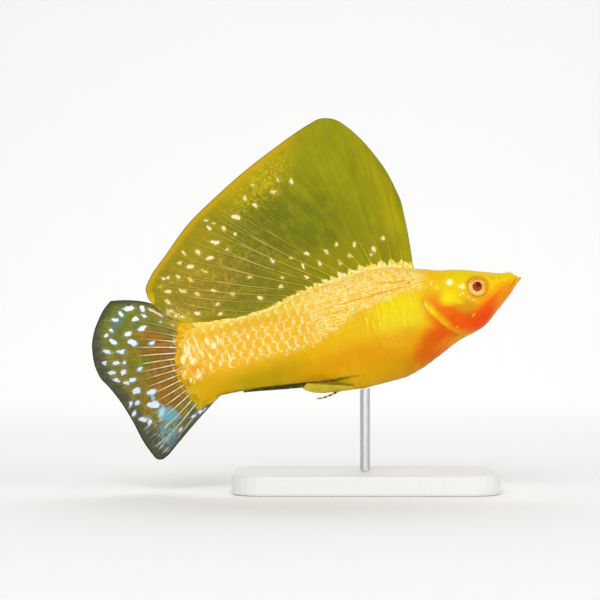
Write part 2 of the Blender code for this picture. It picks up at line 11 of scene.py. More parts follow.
import bmesh
import bpy
import numpy as np
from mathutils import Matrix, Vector

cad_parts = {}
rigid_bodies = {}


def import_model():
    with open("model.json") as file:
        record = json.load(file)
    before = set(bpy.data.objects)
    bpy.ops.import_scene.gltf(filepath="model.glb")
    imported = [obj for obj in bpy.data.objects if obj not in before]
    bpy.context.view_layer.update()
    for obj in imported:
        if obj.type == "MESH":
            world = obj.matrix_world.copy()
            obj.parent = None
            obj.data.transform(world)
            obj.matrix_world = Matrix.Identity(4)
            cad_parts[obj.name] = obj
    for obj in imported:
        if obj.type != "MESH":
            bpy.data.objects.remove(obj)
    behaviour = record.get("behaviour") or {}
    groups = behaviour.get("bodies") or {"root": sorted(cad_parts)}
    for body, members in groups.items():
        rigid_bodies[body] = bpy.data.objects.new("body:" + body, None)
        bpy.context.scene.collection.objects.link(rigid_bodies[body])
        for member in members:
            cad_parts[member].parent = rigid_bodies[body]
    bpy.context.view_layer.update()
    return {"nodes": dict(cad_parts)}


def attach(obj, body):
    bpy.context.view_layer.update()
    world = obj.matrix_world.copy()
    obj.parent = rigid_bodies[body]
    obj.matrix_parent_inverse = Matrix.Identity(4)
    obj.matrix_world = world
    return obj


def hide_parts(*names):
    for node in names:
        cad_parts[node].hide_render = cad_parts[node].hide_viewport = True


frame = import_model()

# %% [markdown]
# ## The fish's own frame
# A fish is easier to shape when it lies straight. Here s runs forward from the root of the tail
# fin, y to the fish's left and z up, all in millimetres. One function tips these points nose-up
# and sets them over the stand. The camera, the shapes and the colours all share this frame.

# %% From the fish's frame to the world
MM = 0.001
PITCH = math.radians(14)
TAIL_ROOT = (-45.25, 0, 32.5)
GAP = 0.3


def to_world(points):
    """Points of the fish's frame, in millimetres, as world places in metres."""
    p = np.asarray(points, float)
    x = TAIL_ROOT[0] + p[..., 0] * math.cos(PITCH) - p[..., 2] * math.sin(PITCH)
    z = TAIL_ROOT[2] + p[..., 0] * math.sin(PITCH) + p[..., 2] * math.cos(PITCH)
    return np.stack((x, p[..., 1] + TAIL_ROOT[1], z), axis=-1) * MM


snout = to_world((87, 0, -0.25))
print("snout tip in mm:", np.round(snout * 1000, 1))

# %% [markdown]
# ## Smooth lines through a few named sizes
# A back or a belly is one long curve. Polynomials would swing between the places that are known,
# so each line is a monotone cubic: it passes through its knots and never overshoots them.

# %% Curves and small helpers
def curve(knots):
    """A smooth line through (place, value) knots that never swings past them."""
    xs, ys = np.array(knots, float).T
    steps = np.diff(ys) / np.diff(xs)
    slopes = np.concatenate((steps[:1], np.zeros(len(xs) - 2), steps[-1:]))
    for k in range(1, len(xs) - 1):
        before, after = steps[k - 1], steps[k]
        slopes[k] = 0 if before * after <= 0 else 2 * before * after / (before + after)

    def value(x):
        x = np.clip(np.asarray(x, float), xs[0], xs[-1])
        i = np.clip(np.searchsorted(xs, x, side="right") - 1, 0, len(xs) - 2)
        width = xs[i + 1] - xs[i]
        t = (x - xs[i]) / width
        rise = t * t * (3 - 2 * t)
        bend = slopes[i] * (1 - t) - slopes[i + 1] * t
        return ys[i] + (ys[i + 1] - ys[i]) * rise + width * t * (1 - t) * bend

    return value


def plane_path(points):
    """A smooth plane curve through the points, read by its share of the whole length."""
    points = np.array(points, float)
    reach = reached(points)
    along = curve(np.column_stack((reach, points[:, 0])))
    up = curve(np.column_stack((reach, points[:, 1])))
    return lambda share: (along(share * reach[-1]), up(share * reach[-1]))


def reached(points):
    """How far along the line each of its points lies."""
    return np.concatenate(([0], np.cumsum(np.linalg.norm(np.diff(points, axis=0), axis=1))))


def unit(vectors):
    return vectors / np.maximum(np.linalg.norm(vectors, axis=-1, keepdims=True), 1e-9)


def mix(a, b, share):
    return a + (b - a) * share


def rise(value, start, end):
    """0 before start, 1 after end, and a smooth step between them."""
    t = np.clip((np.asarray(value, float) - start) / (end - start), 0, 1)
    return t * t * (3 - 2 * t)


def bump(distance, width):
    return np.exp(-((distance / width) ** 2))


# %% The lines of the body
back = curve([(-1, 8), (4, 8.2), (10, 7.6), (17, 7.1), (24, 7.6), (31, 9.3),
              (40, 10.5), (49, 11.2), (55, 10.7), (61, 8.9), (66, 7.2), (73, 5.4),
              (79, 3.3), (82.5, 2.2), (84.2, 2.05), (85.2, 1.35), (86.1, 0.4), (86.8, 0)])
belly = curve([(-1, -11.4), (3, -11.4), (6.5, -10.7), (12, -10.9), (20, -11.7),
               (27.5, -12.7), (31.5, -13.5), (34.5, -15.2), (38, -17), (43, -17.6),
               (52, -17.5), (57, -16.4), (62, -14.4), (68, -11.8), (73, -10.5),
               (75, -9.8), (79, -6.9), (83, -3.8), (86, -1.2), (86.8, -0.5)])
flank = curve([(-1, 0.9), (3, 1.6), (8, 2.5), (15, 3.4), (25, 4.4), (35, 5.4),
               (45, 6.2), (55, 6.7), (63, 6.8), (69, 6.5), (75, 5.7), (80, 4.5),
               (84, 3.1), (86, 1.7), (86.8, 0.6)])
waist = curve([(-1, -1.5), (15, -1.5), (30, -1.8), (45, -2.5), (60, -2.5),
               (70, -2), (78, -1.2), (84, -0.5), (86.8, -0.25)])
crown = curve([(-1, 1.2), (55, 1.15), (68, 0.85), (80, 0.8), (86.8, 0.95)])
keel = curve([(-1, 1.2), (30, 1.1), (42, 0.92), (56, 0.92), (70, 1.05), (86.8, 0.95)])
gill_edge = curve([(-12, 71), (-8.8, 66.3), (-5, 63.2), (-2, 61.3), (0, 61.3),
                   (2.5, 63.2), (5, 64.3), (9, 63.5)])
SNOUT_TIP = (87, 0, -0.25)
print("depth of the body at the deepest:", round(float(back(45) - belly(45)), 1), "mm")


# %% [markdown]
# ## Sections of the body
# Cut across, a molly is a tall soft lens, sharper at the back and keel than a plain ellipse. A
# superellipse says this with one power: above 1 it draws the section to a ridge, below 1 it
# squares it off. The angle runs from the back, over the left flank, and round to the right.

# %% The section function
def section(s, angle):
    """The body's surface in millimetres at stations s and angles."""
    upper = np.cos(angle) >= 0
    power = np.where(upper, crown(s), keel(s))
    reach = np.where(upper, back(s), belly(s)) - waist(s)
    y = flank(s) * np.abs(np.sin(angle)) ** power * np.sign(np.sin(angle))
    z = waist(s) + reach * np.abs(np.cos(angle)) ** power
    return np.stack(np.broadcast_arrays(s, y, z), axis=-1).astype(float)


def flank_y(s, z):
    """How far the left flank stands out at stations and heights."""
    upper = np.asarray(z) >= waist(s)
    power = np.where(upper, crown(s), keel(s))
    reach = np.where(upper, back(s), belly(s)) - waist(s)
    share = np.clip((z - waist(s)) / reach, 0, 1) ** (1 / power)
    return flank(s) * np.sqrt(1 - share * share) ** power


def grid_normals(grid, wrap):
    """Unit normals of a grid of points; with wrap its second direction closes on itself."""
    if wrap:
        padded = np.concatenate((grid[:, -1:], grid, grid[:, :1]), axis=1)
        across = (padded[:, 2:] - padded[:, :-2])
    else:
        across = np.gradient(grid, axis=1)
    along = np.gradient(grid, axis=0)
    return unit(np.cross(along, across))


BELLY_DEPTH, FLANK_DEPTH, FACE_DEPTH, NAPE_END = 0.12, 0.24, 0.1, 69


def coat_depth(s, z):
    """How far the skin lies inside the solids: by the scales' depth, less on belly and head."""
    body = mix(BELLY_DEPTH, FLANK_DEPTH, rise(z, -9, -4))
    ahead = s - mix(gill_edge(z), NAPE_END, rise(z, 3, 7.5))
    return mix(body, FACE_DEPTH, rise(ahead, -0.5, 2.5))


probe = section(np.array([45]), np.array([math.pi / 2]))
print("widest point at the middle of the body:", np.round(probe[0], 2))

# %% [markdown]
# ## Meshes from grids
# Skin, fins and eyes are all grids of points. Filling a mesh from arrays is far quicker than
# adding faces one by one, and it keeps the topology known: even quads with no stray faces.
# Values for the materials, such as how deep a groove is, are stored on the same points.

# %% Mesh helpers
MAP_EDGE, MAP_SPAN = 0.02, 0.96


def quads_of(rows, columns, wrap):
    """Corner numbers of the quads of a grid; with wrap the last column joins the first."""
    j, k = np.meshgrid(np.arange(rows - 1), np.arange(columns if wrap else columns - 1),
                       indexing="ij")
    after = (k + 1) % columns
    corners = (j * columns + k, j * columns + after, (j + 1) * columns + after,
               (j + 1) * columns + k)
    return np.stack(corners, axis=-1).reshape(-1, 4)


def link_object(name, data):
    """Puts a mesh, a light or a camera into the scene."""
    obj = bpy.data.objects.new(name, data)
    bpy.context.scene.collection.objects.link(obj)
    return obj


def new_piece(name, points, faces):
    """A mesh object from points in the fish's frame and faces that point outwards."""
    mesh = bpy.data.meshes.new(name)
    mesh.from_pydata(to_world(points).tolist(), [], [list(map(int, f)) for f in faces])
    mesh.shade_smooth()
    return link_object(name, mesh)


def face_outwards(obj):
    """Turns every face of a closed mesh outwards."""
    shaper = bmesh.new()
    shaper.from_mesh(obj.data)
    bmesh.ops.recalc_face_normals(shaper, faces=shaper.faces)
    shaper.to_mesh(obj.data)
    shaper.free()


def store(obj, name, values):
    """A number for each point, for the materials to read."""
    layer = obj.data.attributes.new(name, "FLOAT", "POINT")
    layer.data.foreach_set("value", np.asarray(values, np.float32).ravel())


def store_vectors(obj, name, values):
    layer = obj.data.attributes.new(name, "FLOAT_VECTOR", "POINT")
    layer.data.foreach_set("vector", np.asarray(values, np.float32).ravel())


def store_map(obj, name, places):
    """A UV map from one place for each point."""
    layer = obj.data.uv_layers.new(name=name)
    corners = np.empty(len(obj.data.loops), np.int32)
    obj.data.loops.foreach_get("vertex_index", corners)
    layer.data.foreach_set("uv", np.asarray(places, np.float32)[corners].ravel())


def triangles(obj):
    return sum(len(p.vertices) - 2 for p in obj.data.polygons)


# %% [markdown]
# ## The skin: rings from the tail root to the snout
# The body could be sculpted, or modelled as one box and subdivided. Rings follow it better: every
# station has a known back, belly and flank. The rings lie close together round the eye and the
# mouth, and they run along the gill edge, so that the gill cover can stand off with a real step.

# %% Stations of the rings
COLUMNS = 288
FLANK_CROWDING = 0.35
BODY_RINGS = 60
REAR_BULGE, REAR_HOLLOW, REAR_MIDDLE, REAR_HALF = 0.8, 2.3, -1.7, 10
HEAD_START, HEAD_END = 61.9, 86.8
HEAD_SPACING = [(61.9, 0.2), (70, 0.17), (72.2, 0.11), (78.6, 0.11), (80.5, 0.13), (82.5, 0.07),
                (86.8, 0.045)]

turn = np.arange(COLUMNS) / COLUMNS
angles = 2 * np.pi * turn + FLANK_CROWDING / 2 * np.sin(4 * np.pi * turn)


def on_edge(edge):
    """The station at which the body, at each angle, meets an edge given by height."""
    s = edge(np.zeros(COLUMNS))
    for _ in range(14):
        s = edge(section(s, angles)[:, 2])
    return s


def rear_edge(z):
    return -REAR_BULGE + REAR_HOLLOW * ((z - REAR_MIDDLE) / REAR_HALF) ** 2


rear_s, gill_s = on_edge(rear_edge), on_edge(gill_edge)
head_stations = [HEAD_START]
spacing = curve(HEAD_SPACING)
while head_stations[-1] < HEAD_END:
    head_stations.append(head_stations[-1] + float(spacing(head_stations[-1])))
head_shares = (np.array(head_stations) - HEAD_START) / (head_stations[-1] - HEAD_START)
print("rings on the head:", len(head_shares))

# %% [markdown]
# ## The head's relief
# A fish's face is bone under thin skin. The gill cover flares over the body, a groove marks the
# cheek plate, two rolls make the lips, and the eye sits in a socket with a soft rim. Each is one
# small hill or furrow added along the normal, which is easy to place and to tune by its size.

# %% Relief of gill cover, cheek, lips and nostrils
EYE = (75.2, 0.4)
MOUTH_FRONT, MOUTH_CORNER = np.array((86.05, 0.35)), np.array((83.3, -1.95))
NOSTRILS = [(79.6, 1.75, 0.3), (81.2, 1.1, 0.22)]
CHEEK_CENTRE, CHEEK_RADIUS = (68.5, -2.4), 5.4
JAW_LINE = [(73, -9.2), (82, -3.4)]
# Height and half width in mm of each hill, or of a furrow where the height is below zero
GILL_FLARE, CHEEK_GROOVE, CHEEK_RIDGE = (0.1, 2.4), (-0.12, 0.6), (0.05, 0.7)
JAW_GROOVE, LIP_ROLL, LIP_FURROW = (-0.13, 0.45), (0.15, 0.3), (-0.1, 0.22)
LIP_MIDDLE, LIP_BACK, MOUTH_DEPTH, MOUTH_WIDTH = 0.5, 1.15, 0.4, 0.12
NOSTRIL_DEPTH, NOSTRIL_RIM = 0.55, 0.1
SOCKET_RIM, SOCKET_MOAT, ORBIT_WIDTH = (0.2, 0.3), (-0.1, 0.3), 0.42
RIM_RADIUS, MOAT_RADIUS, ORBIT_RADIUS = 2.78, 3.4, 2.85


def hill(distance, size):
    return size[0] * bump(distance, size[1])


def beside_mouth(p):
    """Share of the way from the mouth's corner to its front, and the distance above its line."""
    run = MOUTH_FRONT - MOUTH_CORNER
    length = np.hypot(*run)
    ahead, above = p[..., 0] - MOUTH_CORNER[0], p[..., 2] - MOUTH_CORNER[1]
    along = (ahead * run[0] + above * run[1]) / length ** 2
    return along, (above * run[0] - ahead * run[1]) / length


def on_cover(z):
    return rise(z, -12, -8) * (1 - rise(z, -1, 3))


def head_relief(p):
    """How far the skin stands off its plain section, and how deep it lies in a slit or pit."""
    s, z = p[..., 0], p[..., 2]
    relief = hill(s - gill_edge(z), GILL_FLARE) * on_cover(z)
    ahead, above = s - CHEEK_CENTRE[0], z - CHEEK_CENTRE[1]
    ring = np.hypot(ahead, above) - CHEEK_RADIUS
    fade = rise(ahead, -0.5, 1.5) * (1 - rise(above, 0, 2))
    relief = relief + (hill(ring, CHEEK_GROOVE) + hill(ring + 1, CHEEK_RIDGE)) * fade
    (jaw_s, jaw_z), (chin_s, chin_z) = JAW_LINE
    jaw = z - mix(jaw_z, chin_z, np.clip((s - jaw_s) / (chin_s - jaw_s), 0, 1))
    relief = relief + hill(jaw, JAW_GROOVE) * rise(s, 73, 76) * (1 - rise(s, 81, 83))
    along, off = beside_mouth(p)
    front, off = rise(along, 0.55, 0.95), np.abs(off)
    slit = bump(off, MOUTH_WIDTH) * rise(along, -0.06, 0.12)
    lips = hill(off - LIP_MIDDLE, LIP_ROLL) * rise(along, -0.15, 0.35) * mix(1, 0.3, front)
    behind = hill(off - LIP_BACK, LIP_FURROW) * rise(along, -0.1, 0.3) * (1 - front)
    relief = relief + lips + behind - MOUTH_DEPTH * slit * mix(1, 0.45, front)
    hollow, beside = slit, np.abs(p[..., 1]) > 1
    for place_s, place_z, radius in NOSTRILS:
        away = np.hypot(s - place_s, z - place_z)
        pit = bump(away, radius) * beside
        rim = bump(away - 1.7 * radius, 0.5 * radius) * beside
        relief = relief + NOSTRIL_RIM * rim - NOSTRIL_DEPTH * pit
        hollow = np.maximum(hollow, pit)
    return relief, hollow


# %% Where each eye looks
EYE_TURN = 0.7


def eye_frame(side):
    """The middle of the eye on the skin, and the direction in which it looks."""
    s, z = EYE
    step = 0.2
    slope_s = (flank_y(s + step, z) - flank_y(s - step, z)) / (2 * step)
    slope_z = (flank_y(s, z + step) - flank_y(s, z - step)) / (2 * step)
    skin = unit(np.array((-slope_s, 1, -slope_z)))
    looks = unit(mix(np.array((0, 1, 0)), skin, EYE_TURN))
    return np.array((s, flank_y(s, z), z)) * (1, side, 1), looks * (1, side, 1)


print("the left eye looks along", np.round(eye_frame(1)[1], 3))

# %% [markdown]
# ## Building the skin
# The last rings before the gill edge dive under the cover, and the next ones come back out as its
# rim, so that the slit is a true fold of the surface. Behind and below the cover the fold fades
# to evenly spaced rings. The eye sockets are pressed in last, straight along each eye's axis.

# %% The skin as one closed mesh
# Offset from the gill edge and height over the solids: where the cover stands off, and where not
FOLD = [(-0.9, -0.26, -0.9, -0.27), (-0.35, -0.27, -0.66, -0.26), (-0.02, -0.3, -0.44, -0.24),
        (0.08, -0.28, -0.24, -0.22), (0.12, -0.22, -0.06, -0.2), (0.16, -0.16, 0.12, -0.18),
        (0.24, -0.1, 0.28, -0.16), (0.36, -0.06, 0.42, -0.14), (0.5, -0.03, 0.54, -0.12)]
SOCKET_RADIUS, SOCKET_WALL, SOCKET_DEPTH = 2.45, 0.22, 1.3


def skin_grid():
    """The rings of the skin, and for each point how deep in a slit or pit it lies."""
    stations, offsets = [], []
    for share in np.linspace(0, 1, BODY_RINGS)[:-1]:
        stations.append(mix(rear_s, gill_s - 0.9, share))
        offsets.append(None)
    cover = on_cover(section(gill_s, angles)[:, 2])
    for near_s, near_h, plain_s, plain_h in FOLD:
        stations.append(gill_s + mix(plain_s, near_s, cover))
        offsets.append(mix(plain_h, near_h, cover))
    for share in head_shares:
        stations.append(mix(gill_s + 0.6, HEAD_END, share))
        offsets.append(None)
    s = np.array(stations)
    plain = section(s, angles[None, :])
    normals = grid_normals(plain, True)
    relief, hollow = head_relief(plain)
    relief = relief * rise(s, 60.9, 61.3) - coat_depth(s, plain[..., 2])
    fold_rows = [j for j, o in enumerate(offsets) if o is not None]
    for j in fold_rows:
        hollow[j] = 0.9 * cover * (1 if j in fold_rows[1:5] else 0)
        relief[j] = offsets[j]
    return plain + normals * relief[..., None], hollow


def press_sockets(grid):
    """Sinks both eye sockets into the skin and raises a soft rim round them."""
    orbit = np.zeros(grid.shape[:2])
    for side in (1, -1):
        middle, looks = eye_frame(side)
        away = grid - middle
        axial = away @ looks
        radial = away - axial[..., None] * looks
        r = np.linalg.norm(radial, axis=-1)
        near = (np.abs(axial) < 3) & (r < 5) & (grid[..., 1] * side > 0)
        inside = 1 - rise(r, SOCKET_RADIUS - SOCKET_WALL, SOCKET_RADIUS)
        shift = inside * (-SOCKET_DEPTH - axial) + hill(r - RIM_RADIUS, SOCKET_RIM) * (1 - inside)
        shift = shift + hill(r - MOAT_RADIUS, SOCKET_MOAT)
        grid[near] += (shift[..., None] * looks)[near]
        orbit[near] = np.maximum(orbit, bump(r - ORBIT_RADIUS, ORBIT_WIDTH))[near]
    return orbit


grid, hollow = skin_grid()
orbit = press_sockets(grid)
rings = len(grid)
rear_cap = np.array([[rear_edge(REAR_MIDDLE) + 0.3, 0, REAR_MIDDLE]])
front_cap = np.array([SNOUT_TIP]) - (0.1, 0, 0)
skin_points = np.concatenate((grid.reshape(-1, 3), rear_cap, front_cap))
after = (np.arange(COLUMNS) + 1) % COLUMNS
last_ring = (rings - 1) * COLUMNS
skin_faces = [q[::-1] for q in quads_of(rings, COLUMNS, True)]
skin_faces += [(rings * COLUMNS, k, a) for k, a in enumerate(after)]
skin_faces += [(rings * COLUMNS + 1, last_ring + a, last_ring + k) for k, a in enumerate(after)]
skin = new_piece("skin", skin_points, skin_faces)
store(skin, "hollow", np.concatenate((hollow.ravel(), (0, 0))))
store(skin, "orbit", np.concatenate((orbit.ravel(), (0, 0))))
on_face = np.repeat(np.arange(rings) > BODY_RINGS + 2, COLUMNS).astype(float)
store(skin, "face", np.concatenate((on_face, (0, 1))))
ring_share, turn_share = np.meshgrid(np.arange(rings) / rings, turn, indexing="ij")
unrolled = MAP_EDGE + MAP_SPAN * np.stack((ring_share, turn_share), axis=-1).reshape(-1, 2)
store_map(skin, "OFBake", np.concatenate((unrolled, ((0.01, 0.5), (0.99, 0.5)))))
print("skin triangles:", triangles(skin))

# %% [markdown]
# ## Eyes
# A fish's eye is a ball with a flat, metallic iris, a pupil whose lens bulges through it, and a
# clear cornea over both. One painted ball would look dead from the side, so the iris and the lens
# are turned from one profile, and the cornea is a separate clear dome that catches the light.

# %% Profiles of the eye
EYE_SEGMENTS = 64
# Radius and height along the eye's axis, from the back of the ball to the tip of the lens
BALL_PROFILE = [(0, -1.25), (0.9, -1.2), (1.7, -1), (2.3, -0.7), (2.58, -0.42), (2.64, -0.2),
                (2.58, -0.04), (2.46, 0.05), (2.32, 0.09), (2.15, 0.1), (1.9, 0.13), (1.65, 0.18),
                (1.4, 0.22), (1.2, 0.22), (1.1, 0.2), (1.03, 0.26), (0.9, 0.38), (0.7, 0.47),
                (0.45, 0.52), (0.2, 0.55), (0, 0.555)]
CORNEA_PROFILE = [(2.68, -0.3), (2.62, 0), (2.42, 0.22), (2, 0.44), (1.5, 0.62), (1, 0.75),
                  (0.5, 0.81), (0, 0.83), (0, 0.73), (0.5, 0.71), (1, 0.65), (1.5, 0.52),
                  (1.95, 0.35), (2.34, 0.14), (2.54, -0.06), (2.6, -0.3)]


def turned(name, profile, side, closed):
    """A piece turned round one eye's axis from a profile of (radius, height)."""
    middle, looks = eye_frame(side)
    forward = unit(np.cross(looks, (0, 0, 1)))
    up = np.cross(forward, looks)
    ring = 2 * np.pi * np.arange(EYE_SEGMENTS) / EYE_SEGMENTS
    points, faces, radii, rows = [], [], [], []
    for radius, height in profile:
        count = 1 if radius == 0 else EYE_SEGMENTS
        rows.append((len(points), count))
        for a in ring[:count]:
            points.append(middle + looks * height
                          + radius * (forward * np.cos(a) + up * np.sin(a)))
            radii.append(radius)
    pairs = list(zip(rows, rows[1:] + rows[:1])) if closed else list(zip(rows, rows[1:]))
    for (a, a_count), (b, b_count) in pairs:
        for k in range(EYE_SEGMENTS):
            after = (k + 1) % EYE_SEGMENTS
            if a_count == 1 and b_count == 1:
                break
            if a_count == 1:
                faces.append((a, b + k, b + after))
            elif b_count == 1:
                faces.append((a + k, b, a + after))
            else:
                faces.append((a + k, b + k, b + after, a + after))
    obj = new_piece(name, np.array(points), faces)
    face_outwards(obj)
    store(obj, "radius", radii)
    return obj


SIDES = ((1, "left"), (-1, "right"))
eyes, corneas = [], []
for side, word in SIDES:
    eyes.append(turned("eyeball_" + word, BALL_PROFILE, side, False))
    corneas.append(turned("cornea_" + word, CORNEA_PROFILE, side, True))
print("eye triangles:", [triangles(o) for o in eyes + corneas])

# %% [markdown]
# ## Scales: one scale
# The scales overlap like roof tiles, each with a rounded free edge towards the tail. One scale is
# a thin dome, modelled flat: it starts below the skin at its root, rises towards its free edge,
# and drops at its sides, so that the rows beside it cover its flanks.

# %% The shape of one scale
SCALE_ROWS, SCALE_COLUMNS = 9, 9
SCALE_LENGTH = 3.9
SCALE_SPACING = 2.35
SCALE_RISE, SCALE_ROOT, SCALE_WALL, SCALE_DOME = 0.22, -0.16, 0.1, 0.5
SCALE_SIDES, SCALE_ROUNDING, SCALE_CROWDING, SHARP_FOLD = 0.52, 0.93, 0.8, 0.9
FLAT_SCALE = 0.01
ROWS_AROUND = 20
SCALE_HALF_WIDTH = 0.66 / ROWS_AROUND


def make_scale():
    """One scale laid flat: x is the station over 100 mm, y the share of the girth, z metres."""
    share = np.linspace(0, 1, SCALE_ROWS) ** SCALE_CROWDING
    across = np.linspace(-1, 1, SCALE_COLUMNS)
    e, c = np.meshgrid(share, across, indexing="ij")
    rounded = mix(np.sqrt(1 - SCALE_ROUNDING * c * c), 1, SCALE_SIDES)
    x = -SCALE_LENGTH * FLAT_SCALE * e * rounded
    y = SCALE_HALF_WIDTH * c * mix(0.8, 1, e)
    top = (SCALE_ROOT + (SCALE_RISE - SCALE_ROOT) * e) * (1 - SCALE_DOME * c * c)
    under = top - SCALE_WALL
    points = np.stack((np.stack((x, y, top * MM), -1), np.stack((x, y, under * MM), -1)))
    half = SCALE_ROWS * SCALE_COLUMNS
    faces = [tuple(q) for q in quads_of(SCALE_ROWS, SCALE_COLUMNS, False)]
    at = np.arange(half).reshape(SCALE_ROWS, SCALE_COLUMNS)
    rim = list(at[0]) + list(at[1:, -1]) + list(at[-1, -2::-1]) + list(at[-2:0:-1, 0])
    faces += [(a, a + half, b + half, b) for a, b in zip(rim, rim[1:] + rim[:1])]
    faces.append(tuple(a + half for a in rim[::-1]))
    mesh = bpy.data.meshes.new("one scale")
    mesh.from_pydata(points.reshape(-1, 3).tolist(), [], [list(map(int, f)) for f in faces])
    obj = link_object("one scale", mesh)
    store(obj, "edge", np.tile(e.ravel(), 2))
    store(obj, "across", np.tile(c.ravel(), 2))
    store(obj, "reach", np.tile((e * rounded).ravel(), 2))
    shaper = bmesh.new()
    shaper.from_mesh(mesh)
    bmesh.ops.delete(shaper, geom=[v for v in shaper.verts if not v.link_faces], context="VERTS")
    bmesh.ops.recalc_face_normals(shaper, faces=shaper.faces)
    for rim_edge in shaper.edges:
        rim_edge.smooth = rim_edge.calc_face_angle() < SHARP_FOLD
    shaper.to_mesh(mesh)
    shaper.free()
    return obj


one_scale = make_scale()
print("triangles in one scale:", triangles(one_scale))

# %% [markdown]
# ## Scales: where they go
# The body is unrolled like a label from a bottle: one direction is the station, the other the
# share of the girth from the middle of the back. Twenty rows run along it, and every second row
# is set back by half a scale. The rows draw together towards the tail, as they do in life.

# %% The unrolled body and the roots of the scales
SHIFT = np.array((0.1, 0.6))
UNROLL_S = np.linspace(-4, 77, 136)
UNROLL_V = np.linspace(-0.58, 0.58, 161)


def unrolled_angles(s):
    """For one station, the angle at each share of the girth counted from the back."""
    theta = np.linspace(0, math.pi, 241)
    ring = section(np.full(theta.shape, s), theta)
    reach = reached(ring)
    share = np.abs(UNROLL_V) * 2
    under = np.where(share > 1, 2 - share, share)
    turned_by = np.interp(under * reach[-1], reach, theta)
    turned_by = np.where(share > 1, 2 * math.pi - turned_by, turned_by)
    return turned_by * np.where(UNROLL_V < 0, -1, 1)


def make_wrap():
    """The scales' own surface: a plain grid just on the skin, with its unrolled map."""
    turned_by = np.array([unrolled_angles(s) for s in UNROLL_S])
    s = UNROLL_S[:, None] + 0 * turned_by
    plain = section(s, turned_by)
    plain[..., 0] = s
    lean = grid_normals(plain, False)
    place = plain - lean * coat_depth(s, plain[..., 2])[..., None]
    obj = new_piece("unrolled body", place.reshape(-1, 3),
                    quads_of(len(UNROLL_S), len(UNROLL_V), False))
    flat = np.stack(np.meshgrid(UNROLL_S * FLAT_SCALE, UNROLL_V, indexing="ij"), -1)
    store_map(obj, "unrolled", (flat + SHIFT).reshape(-1, 2))
    store_vectors(obj, "lean", (to_world(lean.reshape(-1, 3)) - to_world((0, 0, 0))) / MM)
    return obj, plain


wrap, wrap_places = make_wrap()


FIRST_SCALE, PAST_GILL, NAPE_LIMIT, JITTER = 3.4, 1.7, 70.5, np.array((0.16, 0.0025))
LOW_LIFT, FULL_LIFT = 0.25, 0.6


def scale_lift(s, z):
    """How proudly a scale stands: less on belly and breast, on the nape and at the tail root."""
    upper = rise(z, -7.5, -2)
    ends = rise(s, 20, 40) * (1 - rise(s, 56, 64))
    return mix(LOW_LIFT, FULL_LIFT, upper * mix(0.3, 1, ends))


def scale_roots():
    """Flat places of the roots and the lift of each scale, row by row, up to the gill edge."""
    roots = []
    chance = np.random.default_rng(11)
    for row in range(-ROWS_AROUND // 2 + 1, ROWS_AROUND // 2 + 1):
        v = row / ROWS_AROUND
        column = int(np.argmin(np.abs(UNROLL_V - v)))
        s = FIRST_SCALE + (SCALE_SPACING / 2 if row % 2 else 0)
        s += float(rear_edge(np.interp(s, UNROLL_S, wrap_places[:, column, 2])))
        while s < 72:
            z = float(np.interp(s, UNROLL_S, wrap_places[:, column, 2]))
            limit = mix(float(gill_edge(z)) + PAST_GILL, NAPE_LIMIT, float(rise(z, 4.5, 6.5)))
            if s < limit:
                off_s, off_v = chance.uniform(-JITTER, JITTER)
                roots.append((s + off_s, v + off_v, scale_lift(s, z)))
            s += SCALE_SPACING
    return np.array(roots)


roots = scale_roots()
print("scales:", len(roots))

# %% [markdown]
# ## Helpers for node trees
# Two kinds of tree follow: one lays the scales, the others colour the fish. Colours are pigment,
# not geometry, so they belong in shader nodes, computed from the place on the fish and from values
# stored on the mesh. A few helpers keep this readable: one adds a node and fills its inputs, one
# lays a colour over the last, and the others are the nodes used most.

